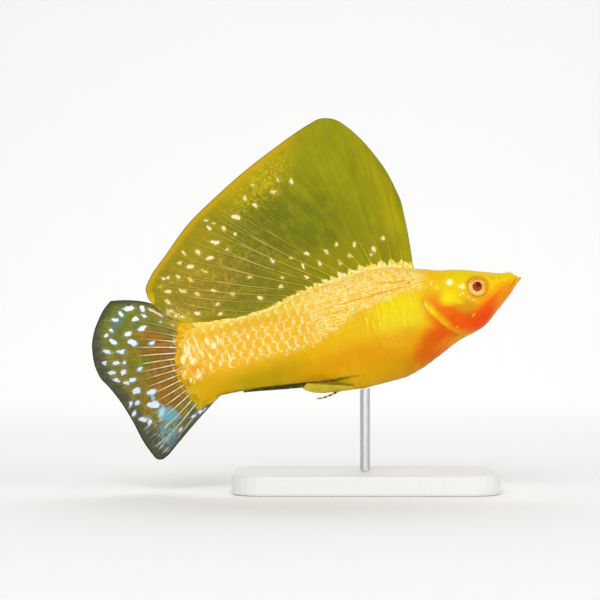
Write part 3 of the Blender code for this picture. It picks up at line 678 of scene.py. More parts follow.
# %% Node helpers
class Nodes:
    """Short ways to add and join nodes in one tree, and to lay one colour over another."""

    def __init__(self, tree):
        self.tree, self.colour = tree, None

    def put(self, socket, value):
        if isinstance(value, bpy.types.NodeSocket):
            self.tree.links.new(value, socket)
        elif isinstance(value, tuple) and socket.type == "RGBA":
            socket.default_value = value + (1.0,)
        else:
            socket.default_value = value

    def add(self, kind, inputs=(), **settings):
        node = self.tree.nodes.new(kind)
        for key, value in settings.items():
            setattr(node, key, value)
        for key, value in dict(inputs).items():
            self.put(node.inputs[key], value)
        return node

    def give(self, sockets, **values):
        for key, value in values.items():
            self.put(sockets[key.replace("_", " ")], value)

    def use(self, group, **values):
        node = self.add("ShaderNodeGroup", node_tree=group)
        self.give(node.inputs, **values)
        return node.outputs

    def math(self, operation, *values):
        return self.add("ShaderNodeMath", enumerate(values), operation=operation).outputs[0]

    def times(self, first, *others):
        for other in others:
            first = self.math("MULTIPLY", first, other)
        return first

    def plus(self, a, b, times=1):
        """a and b times over."""
        return self.math("ADD", a, b) if times == 1 else self.math("MULTIPLY_ADD", b, times, a)

    def minus(self, a, b):
        return self.math("SUBTRACT", a, b)

    def most(self, a, b):
        return self.math("MAXIMUM", a, b)

    def from_whole(self, value):
        """How far a value lies from the nearest whole number."""
        return self.math("ABSOLUTE", self.minus(value, self.math("ROUND", value)))

    def vector(self, operation, *values):
        node = self.add("ShaderNodeVectorMath", enumerate(values), operation=operation)
        return node.outputs["Value" if operation == "LENGTH" else "Vector"]

    def scale(self, vector, by):
        return self.add("ShaderNodeVectorMath", {0: vector, "Scale": by},
                        operation="SCALE").outputs[0]

    def stretch(self, vector, *by):
        return self.vector("MULTIPLY", vector, by)

    def parts(self, vector):
        return self.add("ShaderNodeSeparateXYZ", {0: vector}).outputs

    def value(self, name):
        """A number stored on the mesh."""
        return self.add("ShaderNodeAttribute", attribute_name=name).outputs["Fac"]

    def blend(self, share, a, b):
        return self.add("ShaderNodeMix", {0: share, 2: a, 3: b}, data_type="FLOAT").outputs[0]

    def rise(self, value, start, end):
        """0 at start and 1 at end, smoothly; start may be the larger."""
        return self.add("ShaderNodeMapRange", enumerate((value, start, end)),
                        interpolation_type="SMOOTHSTEP").outputs[0]

    def noise(self, where, scale, detail=2, rough=0.55):
        inputs = {"Vector": where, "Scale": scale, "Detail": detail, "Roughness": rough}
        return self.add("ShaderNodeTexNoise", inputs).outputs[0]

    def grains(self, where, start, end, *kind):
        """Noise cut into grains: 0 where it is below start, 1 above end."""
        return self.rise(self.noise(where, *kind), start, end)

    def patch(self, where, s, z, half_s, half_z, tilt=0, soft=0.4):
        """A soft-edged ellipse on the fish: 1 inside, 0 outside."""
        mapped = self.add("ShaderNodeMapping", {"Vector": where, "Location": (s, 0, z),
                                                "Rotation": (0, -math.radians(tilt), 0),
                                                "Scale": (half_s, 1, half_z)},
                          vector_type="TEXTURE").outputs[0]
        return self.rise(self.vector("LENGTH", mapped), 1 + soft, 1 - soft)

    def mix(self, share, a, b):
        return self.add("ShaderNodeMix", {0: share, 6: a, 7: b}, data_type="RGBA").outputs[2]

    def lay(self, colour, *masks):
        """Lays a colour over what is there, as strongly as all its masks together allow."""
        self.colour = self.mix(self.times(*masks), self.colour, colour)

    def paint(self, base, where, patches):
        """Starts from a base colour and lays soft patches over it, one after the other."""
        self.colour = base
        for *patch, colour in patches:
            self.lay(colour, self.patch(where, *patch))

    def bump(self, strength, depth, height):
        """Relief without geometry; its depth is in millimetres."""
        return self.add("ShaderNodeBump", {"Strength": strength, "Distance": depth * MM,
                                           "Height": height}).outputs[0]


def new_group(name, inputs, outputs, kind="ShaderNodeTree"):
    """An empty node group; returns the group, its Nodes, and its two ends."""
    group = bpy.data.node_groups.new(name, kind)
    for sockets, way in ((inputs, "INPUT"), (outputs, "OUTPUT")):
        for label, socket in sockets.items():
            group.interface.new_socket(label, in_out=way, socket_type="NodeSocket" + socket)
    n = Nodes(group)
    return group, n, n.add("NodeGroupInput").outputs, n.add("NodeGroupOutput").inputs


def new_material(name, **uniform):
    """A material with one Principled shader; returns it, its Nodes and the shader's inputs."""
    material = bpy.data.materials.new(name)
    material.use_nodes = True
    n, inputs = Nodes(material.node_tree), material.node_tree.nodes["Principled BSDF"].inputs
    n.give(inputs, **uniform)
    return material, n, inputs

# %% [markdown]
# ## Scales: the coat by Geometry Nodes
# Placing each scale by hand would take days, and a particle system would be lost in an export.
# Geometry Nodes lay one scale on every root of the flat sheet, make them real, and then wrap the
# whole sheet round the body: each point looks up its place and its normal on the unrolled map.

# %% The node tree of the coat
MAP_SPREAD, MAP_SHIFT = (1.22, 0.92, 0), (0.06, 0.5, 0)


def coat_tree():
    tree, n, given, made = new_group(
        "scale coat", {"Roots": "Geometry", "Unrolled Body": "Object", "Scale Shape": "Object",
                       "Length": "Float", "Width": "Float", "Lift": "Float",
                       "Variation": "Float", "Patch": "Float", "Seed": "Int",
                       "Finish": "Material"}, {"Coat": "Geometry"}, "GeometryNodeTree")

    def mesh_of(name):
        return n.add("GeometryNodeObjectInfo", {"Object": given[name]},
                     transform_space="ORIGINAL").outputs["Geometry"]

    def named(name, kind="FLOAT_VECTOR"):
        return n.add("GeometryNodeInputNamedAttribute", {"Name": name},
                     data_type=kind).outputs["Attribute"]

    def stored(geometry, name, value, **settings):
        return n.add("GeometryNodeStoreNamedAttribute",
                     {"Geometry": geometry, "Name": name, "Value": value}, **settings).outputs[0]

    # Each scale is a little longer or shorter than the last, and has its own tone
    vary = n.add("FunctionNodeRandomValue", {"Seed": given["Seed"]}, data_type="FLOAT").outputs[1]
    swing = n.times(n.minus(vary, 0.5), given["Variation"])
    size = n.add("ShaderNodeCombineXYZ", {
        0: n.times(given["Length"], n.plus(swing, 1)), 1: given["Width"],
        2: n.times(given["Lift"], named("lift", "FLOAT"))}).outputs[0]
    laid = n.add("GeometryNodeInstanceOnPoints", {
        "Points": given["Roots"], "Instance": mesh_of("Scale Shape"), "Scale": size}).outputs[0]
    toned = stored(laid, "tone", vary, data_type="FLOAT", domain="INSTANCE")
    real = n.add("GeometryNodeRealizeInstances", {0: toned}).outputs[0]

    # The bake map: each scale keeps its own place on the unrolled body, drawn in a little
    flat, root = n.add("GeometryNodeInputPosition").outputs[0], named("root")
    patch = n.scale(n.vector("SUBTRACT", flat, root), given["Patch"])
    on_map = n.stretch(n.vector("ADD", root, patch), *MAP_SPREAD)
    mapped = stored(real, "OFBake", n.vector("ADD", on_map, MAP_SHIFT), data_type="FLOAT2",
                    domain="CORNER")

    # Wrapping: look up place and lean on the unrolled map
    look_up = n.vector("ADD", flat, (*SHIFT.tolist(), 0))
    body = mesh_of("Unrolled Body")

    def sampled(value):
        return n.add("GeometryNodeSampleUVSurface", {
            "Mesh": body, "Value": value, "Source UV Map": named("unrolled"),
            "Sample UV": look_up}, data_type="FLOAT_VECTOR").outputs["Value"]

    raised = n.scale(sampled(named("lean")), n.parts(flat)[2])
    on_body = sampled(n.add("GeometryNodeInputPosition").outputs[0])
    moved = n.add("GeometryNodeSetPosition", {"Geometry": mapped,
                                              "Position": n.vector("ADD", on_body, raised)})
    smooth = n.add("GeometryNodeSetShadeSmooth", {0: moved.outputs[0]})
    finished = n.add("GeometryNodeSetMaterial", {"Geometry": smooth.outputs[0],
                                                 "Material": given["Finish"]})
    n.put(made[0], finished.outputs[0])
    return tree


def made_by_nodes(name, carrier, tree, values):
    """Runs a node tree on a carrier mesh and keeps the result as a plain mesh."""
    modifier = carrier.modifiers.new(name, "NODES")
    modifier.node_group = tree
    sockets = {s.name: s.identifier for s in tree.interface.items_tree if s.in_out == "INPUT"}
    for key, value in values.items():
        modifier[sockets[key]] = value
    evaluated = carrier.evaluated_get(bpy.context.evaluated_depsgraph_get())
    mesh = bpy.data.meshes.new_from_object(evaluated)
    carrier.modifiers.remove(modifier)
    return link_object(name, mesh)


def lay_scales(finish):
    mesh = bpy.data.meshes.new("scale roots")
    flat = np.stack((roots[:, 0] * FLAT_SCALE, roots[:, 1], 0 * roots[:, 0]), -1)
    mesh.from_pydata(flat.tolist(), [], [])
    carrier = link_object("scale roots", mesh)
    store_vectors(carrier, "root", flat)
    store(carrier, "lift", roots[:, 2])
    values = {"Unrolled Body": wrap, "Scale Shape": one_scale, "Length": 1.0, "Width": 1.0,
              "Lift": 1.0, "Variation": 0.12, "Patch": 0.45, "Seed": 7, "Finish": finish}
    coat = made_by_nodes("scales", carrier, coat_tree(), values)
    for helper in (carrier, wrap, one_scale):
        bpy.data.objects.remove(helper)
    return coat

# %% [markdown]
# ## Fins: a membrane stretched over rays
# Each fin is one thin closed sheet. A fin could be a textured plane, but its rays catch the light
# and show at the edge, so they are ridges in the sheet's own surface. A ray is soft and jointed,
# and it forks twice on its way to the margin. Folding a distance with abs() twice gives the forks.

# %% The fin builder
# Start and end along the ray, and the branches' distance in rays
FIRST_FORK, SECOND_FORK = (0.4, 1, 0.24), (0.72, 1, 0.1)
RAY_WIDTH, SHEATH_TOP, THIN_EDGE, THIN_END = (0.24, 0.15), 0.035, (0.55, 0.35), (0.4, 0.2)


def ray_distance(place, along):
    """Distance from the nearest branch of a ray, counted in rays."""
    beside = np.abs(place - np.round(place))
    beside = np.abs(beside - FIRST_FORK[2] * rise(along, *FIRST_FORK[:2]))
    return np.abs(beside - SECOND_FORK[2] * rise(along, *SECOND_FORK[:2]))


def spot_field(points, spots, focus):
    """How far each point lies outside the nearest spot, in millimetres. Spots are drops drawn
    out more or less along the rays, which fan out from the focus."""
    chance = np.random.default_rng(5)
    field = np.full(points.shape[:-1], 9.0)
    for s, z, radius in spots:
        stretch, turned_by, narrow = chance.uniform((1, -0.7, 0), (1.9, 0.7, 0.35))
        lie = math.atan2(z - focus[1], s - focus[0]) + turned_by
        ahead, above = points[..., 0] - s, points[..., 2] - z
        along = (ahead * math.cos(lie) + above * math.sin(lie)) / (radius * stretch)
        beside = (above * math.cos(lie) - ahead * math.sin(lie)) / (radius * 0.85)
        reach = np.hypot(along, beside * (1 + narrow * along))
        field = np.minimum(field, (reach - 0.92) * radius)
    return field


def fin_sheet(name, point, rays, per_ray, rows, membrane, ridge, inset, spots=(), sheath=0,
              focus=(40, 0), last_is_edge=True):
    """One fin. point(u, v) gives its middle sheet; membrane and ridge are (root, margin) walls."""
    u = np.linspace(0, 1, (rays - 1) * per_ray + 1)[:, None]
    v = np.linspace(-inset, 1, rows)[None, :]
    middle = point(u, v)
    lean = grid_normals(middle, False)
    lean = lean * np.where(lean[..., 1:2] < 0, -1, 1)
    along = np.clip(v, 0, 1) + 0 * u
    place = u * (rays - 1) + 0 * v
    pitch = np.linalg.norm(np.gradient(middle, axis=0), axis=-1) * per_ray
    beside = ray_distance(place, along) * pitch
    proud = 1 if last_is_edge else 1 - rise(place, rays - 1.9, rays - 1.4)
    wall = mix(*membrane, along)
    wall = wall + proud * mix(*ridge, along) * bump(beside, mix(*RAY_WIDTH, along))
    sheath = sheath * mix(1, 0.15, rise(u, 0.82, 0.98))
    wall = wall + sheath * bump(np.clip(v, 0, 1), SHEATH_TOP)
    length = np.linalg.norm(np.diff(middle, axis=1), axis=-1).sum(axis=1, keepdims=True)
    edge = (1 - along) * length
    ends = np.minimum(u, 1 - u) * (rays - 1) * pitch
    wall = wall * (1 - hill(edge, THIN_EDGE)) * (1 - hill(ends, THIN_END))
    left, right = middle + lean * wall[..., None] / 2, middle - lean * wall[..., None] / 2
    count = middle.shape[0] * middle.shape[1]
    faces = list(quads_of(middle.shape[0], rows, False))
    faces += [q[::-1] + count for q in faces]
    at = np.arange(count).reshape(middle.shape[:2])
    rim = list(at[:-1, 0]) + list(at[-1, :-1]) + list(at[:0:-1, -1]) + list(at[0, :0:-1])
    faces += [(b, a, a + count, b + count) for a, b in zip(rim, rim[1:] + rim[:1])]
    obj = new_piece(name, np.concatenate((left.reshape(-1, 3), right.reshape(-1, 3))), faces)
    face_outwards(obj)
    edge = np.minimum(edge, ends if last_is_edge else u * (rays - 1) * pitch)
    for key, values in (("place", place), ("along", along), ("pitch", pitch), ("edge", edge),
                        ("height", along * length), ("spot", spot_field(middle, spots, focus))):
        store(obj, key, np.concatenate((values.ravel(), values.ravel())))
    # The left side fills the lower half of the map, the right side the upper half
    half = np.stack((MAP_SPAN * u + 0 * v, 0.46 * (v + inset) / (1 + inset) + 0 * u), -1) + MAP_EDGE
    other = half + (0, 0.5)
    store_map(obj, "OFBake", np.concatenate((half.reshape(-1, 2), other.reshape(-1, 2))))
    return obj


def bowed(root, tip, bow, share):
    """Points on rays that leave the straight line by bow times their length, to the rear."""
    (rx, rz), (tx, tz) = root, tip
    run_x, run_z = tx - rx, tz - rz
    control_x = (rx + tx) / 2 - run_z * 2 * bow
    control_z = (rz + tz) / 2 + run_x * 2 * bow
    near, half_way, far = (1 - share) ** 2, 2 * share * (1 - share), share ** 2
    return (rx * near + control_x * half_way + tx * far,
            rz * near + control_z * half_way + tz * far)


# %% [markdown]
# ## The dorsal fin
# The sail is what names this fish. Its rays start close together behind the nape and fan out to
# the rear. The pale spots between them are places on the membrane: each point keeps its distance
# from the nearest spot, and the finish draws a clean edge from that.

# %% The sail
DORSAL_RAYS = 18
dorsal_margin = plane_path([(62.2, 26), (60.9, 32.4), (58.1, 39.7), (53.9, 46.7), (50.6, 49.8),
                            (47.6, 50.6), (44.5, 49.9), (35.4, 46.5), (26.2, 42.5), (16.7, 37.5),
                            (9.4, 33.1), (1.6, 26.5), (-2.9, 22.5), (-4.9, 19.2), (-4.8, 17.2)])
dorsal_bow = curve([(0, -0.015), (0.15, 0), (0.4, 0.02), (0.82, 0.03), (1, 0.11)])
# Share of the rays: where each stands on the back, and its place along the margin
dorsal_root = curve([(0, 61.3), (0.41, 44.2), (0.82, 27), (1, 4.6)])
dorsal_tips = curve([(0, 0), (0.06, 0.116), (0.18, 0.285), (0.29, 0.474), (0.35, 0.59),
                     (0.41, 0.66), (0.53, 0.748), (0.65, 0.853), (0.71, 0.917), (0.82, 0.9715),
                     (1, 1)])
DORSAL_SPOTS = [
    (21.2, 31.8, 0.68), (17.6, 29.7, 0.55), (20.1, 27.6, 0.45), (14.6, 26.9, 0.62),
    (17.3, 24.4, 0.45), (9.9, 25.6, 0.55), (6.5, 26.2, 0.5), (5, 24, 0.55), (7.3, 22.5, 0.6),
    (12.4, 23.4, 0.55), (3.6, 20.8, 0.45), (6.5, 19.3, 0.57), (4.1, 17, 0.57), (0.3, 17.7, 0.5),
    (7.3, 15.4, 0.55), (15.7, 13.4, 0.5), (28, 12.2, 0.6), (22.2, 10.8, 0.5), (11.5, 11.7, 0.5),
    (11.7, 9.3, 0.55), (11.5, 15.3, 0.45), (-0.4, 15.4, 0.53), (6, 10.8, 0.55),
    (14.1, 30.8, 0.5), (26.6, 33.5, 0.5), (31.8, 35.7, 0.53), (36.9, 37.3, 0.5),
    (33.8, 38.6, 0.38), (27.2, 38.6, 0.4), (24.6, 35.9, 0.47), (13.6, 32.9, 0.38),
    (15.5, 31.6, 0.3), (27.5, 19, 0.4), (32.2, 18.5, 0.38), (28.8, 14.2, 0.42),
    (21, 16.4, 0.38), (10.5, 20.5, 0.38), (-0.1, 13, 0.45), (0.8, 11.4, 0.38),
    (2.5, 10.8, 0.38), (-0.1, 21.4, 0.38), (1.1, 21.2, 0.33), (-1.2, 19.4, 0.33),
    (44, 19.1, 0.55), (48.4, 18, 0.57), (46.6, 15.6, 0.55), (43.8, 14.5, 0.55),
    (41, 18, 0.5), (36.3, 18.6, 0.53), (38.8, 15.5, 0.53), (52.8, 15.7, 0.57),
    (51.8, 14.5, 0.4), (55.7, 17.8, 0.5), (34.6, 16, 0.4), (34.8, 13, 0.5)]


SAIL_FOOT, SAIL_WAVE, SAIL_SWING, SWING_START = (1.1, 0.03), 1.5, 1.2, 0.6


def dorsal_point(u, v):
    s = dorsal_root(u)
    tip = dorsal_margin(dorsal_tips(u))
    x, z = bowed((s, back(s) + GAP), tip, dorsal_bow(u), v)
    v = np.clip(v, 0, 1)
    z = z - hill(v, SAIL_FOOT)
    swing = SAIL_SWING * v * np.clip((u - SWING_START) / (1 - SWING_START), 0, 1) ** 2
    sway = -SAIL_WAVE * v ** 1.5 * np.sin(math.pi * (2.1 * u - 1.3)) - swing
    return np.stack(np.broadcast_arrays(x, sway, z), axis=-1)


dorsal = fin_sheet("dorsal_sail", dorsal_point, DORSAL_RAYS, per_ray=22, rows=104,
                   membrane=(0.34, 0.22), ridge=(0.5, 0.3), inset=0.022, spots=DORSAL_SPOTS,
                   sheath=1, focus=(48, 2), last_is_edge=False)
print("sail triangles:", triangles(dorsal))

# %% [markdown]
# ## The tail fin
# The tail fin stands on the rounded end of the body, and its rays run deep into the flesh there.
# Its lower lobe hangs lower than the upper one, as in the photograph.

# %% The tail fin
CAUDAL_RAYS = 19
caudal_margin = plane_path([(-14.3, 19), (-16.3, 17.5), (-18.4, 15.1), (-20.3, 12.2),
                            (-21.6, 8.7), (-22, 4.8), (-21.5, 1.4), (-19.6, -2.2),
                            (-17.8, -6.2), (-16, -11.7), (-14.8, -16.6), (-13.3, -20.5),
                            (-12.3, -22.2), (-11.2, -22.5), (-9.1, -21.5)])
caudal_bow = curve([(0, -0.105), (0.12, -0.045), (0.5, 0), (0.85, 0.02), (1, -0.01)])
CAUDAL_SPOTS = [
    (-10.1, 16, 0.8), (-6.9, 15.2, 0.75), (-12.5, 15.2, 0.55), (-14.3, 14.1, 0.55),
    (-9.3, 13.1, 0.7), (-7, 13.4, 0.45), (-15.9, 11.8, 0.45), (-17.3, 10.8, 0.5),
    (-8.3, 10.4, 0.75), (-11.9, 10, 0.65), (-16.1, 8.9, 0.65), (-11.3, 7.5, 0.9),
    (-18.1, 6.9, 0.6), (-14.7, 6.1, 0.65), (-19.5, 4.3, 0.45), (-16.5, 3.6, 0.65),
    (-14.6, 3.3, 0.57), (-18.4, 1.5, 0.55), (-15.4, 0.9, 0.65), (-11.3, 0.7, 0.65),
    (-13.6, -1.5, 0.6), (-17.6, -0.5, 0.5), (-15.4, -1.8, 0.45), (-13.3, -4.4, 1),
    (-13.8, -7.3, 0.55), (-15.5, -7.3, 0.45), (-10.1, -8.7, 1), (-9.6, -5.6, 0.75),
    (-15.3, -9.8, 0.55), (-13.5, -11.7, 0.75), (-11.9, -12.8, 0.55), (-6.7, 6.3, 0.6),
    (-0.9, -13.9, 0.38), (0.8, -13.4, 0.42), (2.2, -12.9, 0.38), (-4.9, -16.4, 0.4),
    (-1.6, 12.4, 0.4), (0.4, 10.6, 0.35), (-3.3, 10.9, 0.3), (-0.6, 9.4, 0.3)]


def caudal_root(u):
    """The line on which the tail fin stands, round the end of the body."""
    top, bottom, corner = float(back(1)) + GAP, float(belly(1)) - GAP, 0.07
    upper_s = mix(4.2, rear_edge(top) - GAP, np.clip(u / corner, 0, 1))
    lower_s = mix(6, rear_edge(bottom) - GAP, np.clip((1 - u) / corner, 0, 1))
    z = mix(top, bottom, np.clip((u - corner) / (1 - 2 * corner), 0, 1))
    s = np.where(u < corner, upper_s, np.where(u > 1 - corner, lower_s, rear_edge(z) - GAP))
    z = np.where(u < corner, back(upper_s) + GAP, np.where(u > 1 - corner,
                                                           belly(lower_s) - GAP, z))
    return s, z


TAIL_SWAY = 1.2


def caudal_point(u, v):
    x, z = bowed(caudal_root(u), caudal_margin(u), caudal_bow(u), v)
    sway = TAIL_SWAY * np.clip(v, 0, 1) ** 1.6 * np.cos(math.pi * 0.9 * u)
    return np.stack(np.broadcast_arrays(x, sway, z), axis=-1)


caudal = fin_sheet("caudal_fan", caudal_point, CAUDAL_RAYS, per_ray=22, rows=84,
                   membrane=(0.4, 0.22), ridge=(0.55, 0.28), inset=0.06, spots=CAUDAL_SPOTS,
                   sheath=0.3, focus=(14, 0))
print("tail fin triangles:", triangles(caudal))

# %% [markdown]
# ## Paired fins
# The pectoral fins beat all the time and are clear as glass, so the photograph hardly shows them.
# The pelvic fins lie back under the belly, each with one ray drawn out to a banded thread.

# %% Pectoral and pelvic fins
PECTORAL = {"root": ((60.7, -0.7), (60.5, -3.7)), "droop": (3, -48), "spread": 24,
            "reach": curve([(0, 9), (0.12, 12.2), (0.3, 14.3), (0.5, 14.4), (0.8, 10.8),
                            (0.94, 7.6), (1, 5.5)])}
PELVIC = {"root": ((38.6, -15.7), (37.9, -16.8)), "droop": (17, 7), "spread": 7,
          "reach": curve([(0, 10.6), (0.4, 11.4), (0.8, 9), (1, 6.2)])}


OFF_SKIN, PECTORAL_RAYS, PELVIC_RAYS = 0.45, 12, 6


def paired_point(fin, side):
    def point(u, v):
        (s0, z0), (s1, z1) = fin["root"]
        s, z = mix(s0, s1, u), mix(z0, z1, u)
        droop, spread = np.radians(mix(*fin["droop"], u)), math.radians(fin["spread"])
        reach = fin["reach"](u) * v
        out = flank_y(s, z) + OFF_SKIN + reach * math.sin(spread)
        flat = reach * np.cos(droop) * math.cos(spread)
        return np.stack(np.broadcast_arrays(s - flat, side * out, z + reach * np.sin(droop)), -1)
    return point


pectorals, pelvics = [], []
for side, word in SIDES:
    pectorals.append(fin_sheet("pectoral_" + word, paired_point(PECTORAL, side), PECTORAL_RAYS,
                               per_ray=12, rows=50, membrane=(0.3, 0.16), ridge=(0.3, 0.18),
                               inset=0.1))
    pelvics.append(fin_sheet("pelvic_" + word, paired_point(PELVIC, side), PELVIC_RAYS,
                             per_ray=12, rows=40, membrane=(0.34, 0.2), ridge=(0.32, 0.2),
                             inset=0.1))
print("paired fin triangles:", [triangles(o) for o in pectorals + pelvics])


# %% [markdown]
# ## Gonopodium and pelvic threads
# In males the anal fin is a slim rod of three fused rays, carried back under the tail. It is a
# tube along a path, with three soft flutes for the rays and fine rings for their joints.

# %% Tubes along a path
def tube(name, path, radii, sides, flutes=0, joints=0):
    """A closed tube through path points in the fish's frame; it may be fluted and jointed."""
    path, radii = np.asarray(path, float), np.asarray(radii, float)
    ahead = unit(np.gradient(path, axis=0))
    beside = unit(np.cross(ahead, (0, 0, 1)))
    up = np.cross(beside, ahead)
    a = 2 * np.pi * np.arange(sides) / sides
    reach = reached(path)
    swell = (1 + flutes * np.cos(3 * a))[None, :] * (1 + joints * np.cos(8 * reach))[:, None]
    r = radii[:, None] * swell
    rings = (path[:, None] + r[..., None] * (beside[:, None] * np.sin(a)[None, :, None]
                                             + up[:, None] * np.cos(a)[None, :, None]))
    count = len(path) * sides
    points = np.concatenate((rings.reshape(-1, 3), path[:1], path[-1:]))
    faces = [tuple(q) for q in quads_of(len(path), sides, True)]
    faces += [(count, (k + 1) % sides, k) for k in range(sides)]
    faces += [(count + 1, count - sides + k, count - sides + (k + 1) % sides)
              for k in range(sides)]
    obj = new_piece(name, points, faces)
    face_outwards(obj)
    store(obj, "along", np.concatenate((np.repeat(reach, sides), (0, reach[-1]))))
    return obj


ROD_START, ROD_END, ROD_DROP = 32, 12.6, 0.75
THREAD_LENGTH, THREAD_SAG, THREAD_SPREAD, THREAD_RADII = 6.6, 1.3, 0.5, (0.24, 0.07)
share = np.linspace(0, 1, 120)
gono_s = mix(ROD_START, ROD_END, share)
gono_r = curve([(0, 0.62), (0.35, 0.6), (0.7, 0.42), (1, 0.2)])(share)
gono_z = belly(gono_s) - ROD_DROP * rise(share, 0, 0.12) * gono_r
gonopodium = tube("gonopodium_rod", np.stack((gono_s, 0 * share, gono_z), -1), gono_r, sides=18,
                  flutes=0.12, joints=0.05)
threads = []
for side, word in SIDES:
    t = np.linspace(0, 1, 60)
    root = paired_point(PELVIC, side)(np.array(0.86), np.array(0.2))
    path = np.stack((root[0] - THREAD_LENGTH * t, root[1] + side * THREAD_SPREAD * t,
                     root[2] - THREAD_SAG * np.sin(t * 1.9) + 0.5 * t), -1)
    threads.append(tube("pelvic_thread_" + word, path, mix(*THREAD_RADII, t), sides=10,
                        joints=0.06))
print("rod and threads:", [triangles(o) for o in [gonopodium] + threads])

# %% [markdown]
# ## Place on the fish
# Every marking is placed in the fish's own millimetres. Object coordinates are in metres over the
# stand, so one mapping turns them back. Setting y to zero gives both sides the same markings, and
# a little noise keeps the outlines from looking drawn with a compass.

# %% The shared place group
place_group, n, given, made = new_group("Fish Place", {"Wander": "Float"}, {
    "Place": "Vector", "Flat": "Vector", "Along": "Float", "Height": "Float"})
world_place = n.add("ShaderNodeTexCoord").outputs["Object"]
place = n.add("ShaderNodeMapping", {"Vector": world_place,
                                    "Location": tuple(c * MM for c in TAIL_ROOT),
                                    "Rotation": (0, -PITCH, 0), "Scale": (MM, MM, MM)},
              vector_type="TEXTURE").outputs[0]
flat = n.stretch(place, 1, 0, 1)
wander = n.add("ShaderNodeTexNoise", {"Vector": flat, "Scale": 0.45, "Detail": 3}).outputs[1]
shift = n.scale(n.vector("SUBTRACT", wander, (0.5, 0.5, 0.5)), n.times(given["Wander"], 2))
moved = n.stretch(n.vector("ADD", flat, shift), 1, 0, 1)
n.give(made, Place=place, Flat=moved, Along=n.parts(place)[0], Height=n.parts(place)[2])
print("shared place group:", len(place_group.nodes), "nodes")

# %% [markdown]
# ## The body's pigment
# A gold molly is lemon on the crown and flank, orange from the gill to the throat, and green-gold
# under the tail. The colours melt into each other, so they are soft ellipses laid one on another.
# The group also tells where the cream network of the upper flank begins, along a line down the
# fish's length.

# %% The pigment group
BASE_GOLD = (0.8, 0.45, 0.003)
# Place, half sizes in mm, tilt in degrees, softness and colour
PIGMENT = [
    (52, -15.5, 17, 6, 0, 0.7, (0.61, 0.27, 0)),
    (40, -15, 10, 4.5, 0, 0.7, (0.69, 0.37, 0)),
    (31, -8.5, 7, 4, 0, 0.7, (0.8, 0.42, 0.001)),
    (16, -9.5, 13, 4.6, 2, 0.6, (0.51, 0.33, 0)),
    (4, -7.5, 6, 4.5, 0, 0.7, (0.66, 0.37, 0.002)),
    (12, 0.5, 17, 6, 0, 0.6, (0.87, 0.45, 0.01)),
    (47, -1.5, 12, 5, -4, 0.55, (0.8, 0.47, 0.001)),
    (55.5, -1.5, 6.5, 5.5, -10, 0.6, (0.84, 0.66, 0.001)),
    (43, -9.3, 12, 3, 3, 0.9, (0.73, 0.32, 0.001)),
    (56, -8.3, 6.5, 2.8, 0, 0.9, (0.76, 0.35, 0)),
    (44, 8.5, 22, 4, 4, 0.6, (0.9, 0.54, 0.03)),
    (20, 7.4, 16, 2, 0, 0.5, (0.9, 0.62, 0.03)),
    (17, 4.8, 13, 1.2, 0, 0.7, (0.79, 0.44, 0.01)),
    (71, 4.5, 12, 4.6, -20, 0.4, (0.83, 0.61, 0)),
    (64.8, 5, 4, 4, 0, 0.7, (0.88, 0.53, 0.001)),
    (80.5, 0.2, 6, 2.8, -24, 0.5, (0.85, 0.57, 0.001)),
    (83.8, 1, 2.6, 1.5, -10, 0.7, (0.84, 0.62, 0.001)),
    (83.8, -1.2, 3.5, 1.4, 0, 0.7, (0.83, 0.42, 0.001)),
    (64.3, -2.6, 3, 4.2, 20, 0.6, (0.81, 0.25, 0.001)),
    (66.5, -5, 4.4, 3.4, -30, 0.5, (0.8, 0.15, 0)),
    (70, -6.8, 5, 3.2, 6, 0.5, (0.8, 0.09, 0)),
    (77.3, -4.8, 5.2, 2, 35, 0.7, (0.87, 0.13, 0)),
    (74.6, -7.8, 4.2, 2.4, 30, 0.6, (0.82, 0.06, 0)),
    (82, -3.2, 3.2, 1.5, 38, 0.8, (0.83, 0.27, 0.001)),
    (62.5, -10.2, 5.5, 3.6, 24, 0.5, (0.72, 0.1, 0)),
    (59.8, -13, 4, 2.6, 20, 0.7, (0.68, 0.13, 0)),
    (64.4, -11.4, 3, 1.2, 24, 0.8, (0.8, 0.19, 0)),
    (71.4, -3.7, 2.3, 1.4, -12, 0.8, (0.66, 0.29, 0.002)),
    (67.6, -0.6, 2, 1.6, 0, 0.8, (0.88, 0.72, 0.001)),
    (69.7, -1.9, 1.1, 0.6, -30, 0.9, (0.86, 0.62, 0.005)),
    (34.5, -15, 4.5, 1.4, 6, 0.5, (0.5, 0.38, 0.001)),
]
# The lower border of the network: place along the fish, and height
NETWORK_LINE = [(0, -6), (8, -4.6), (20, -4.4), (30, -4.2), (37, -2.5), (46, 1.4),
                (58, 3.2), (90, 4)]
LINE_LENGTH, LINE_HEIGHT, LINE_BELOW = 90, 20, 10
TAN_BAND = (17, 4.9, 13, 0.9, 0, 0.6)


def network_border(n, along):
    """The height of the network's lower border at each place along the fish."""
    curve_node = n.add("ShaderNodeFloatCurve")
    points = curve_node.mapping.curves[0].points
    line = [(s / LINE_LENGTH, (z + LINE_BELOW) / LINE_HEIGHT) for s, z in NETWORK_LINE]
    for s, z in line[1:-1]:
        points.new(s, z)
    points[0].location, points[len(points) - 1].location = line[0], line[-1]
    curve_node.mapping.update()
    n.put(curve_node.inputs["Value"], n.math("DIVIDE", along, LINE_LENGTH))
    return n.minus(n.times(curve_node.outputs[0], LINE_HEIGHT), LINE_BELOW)


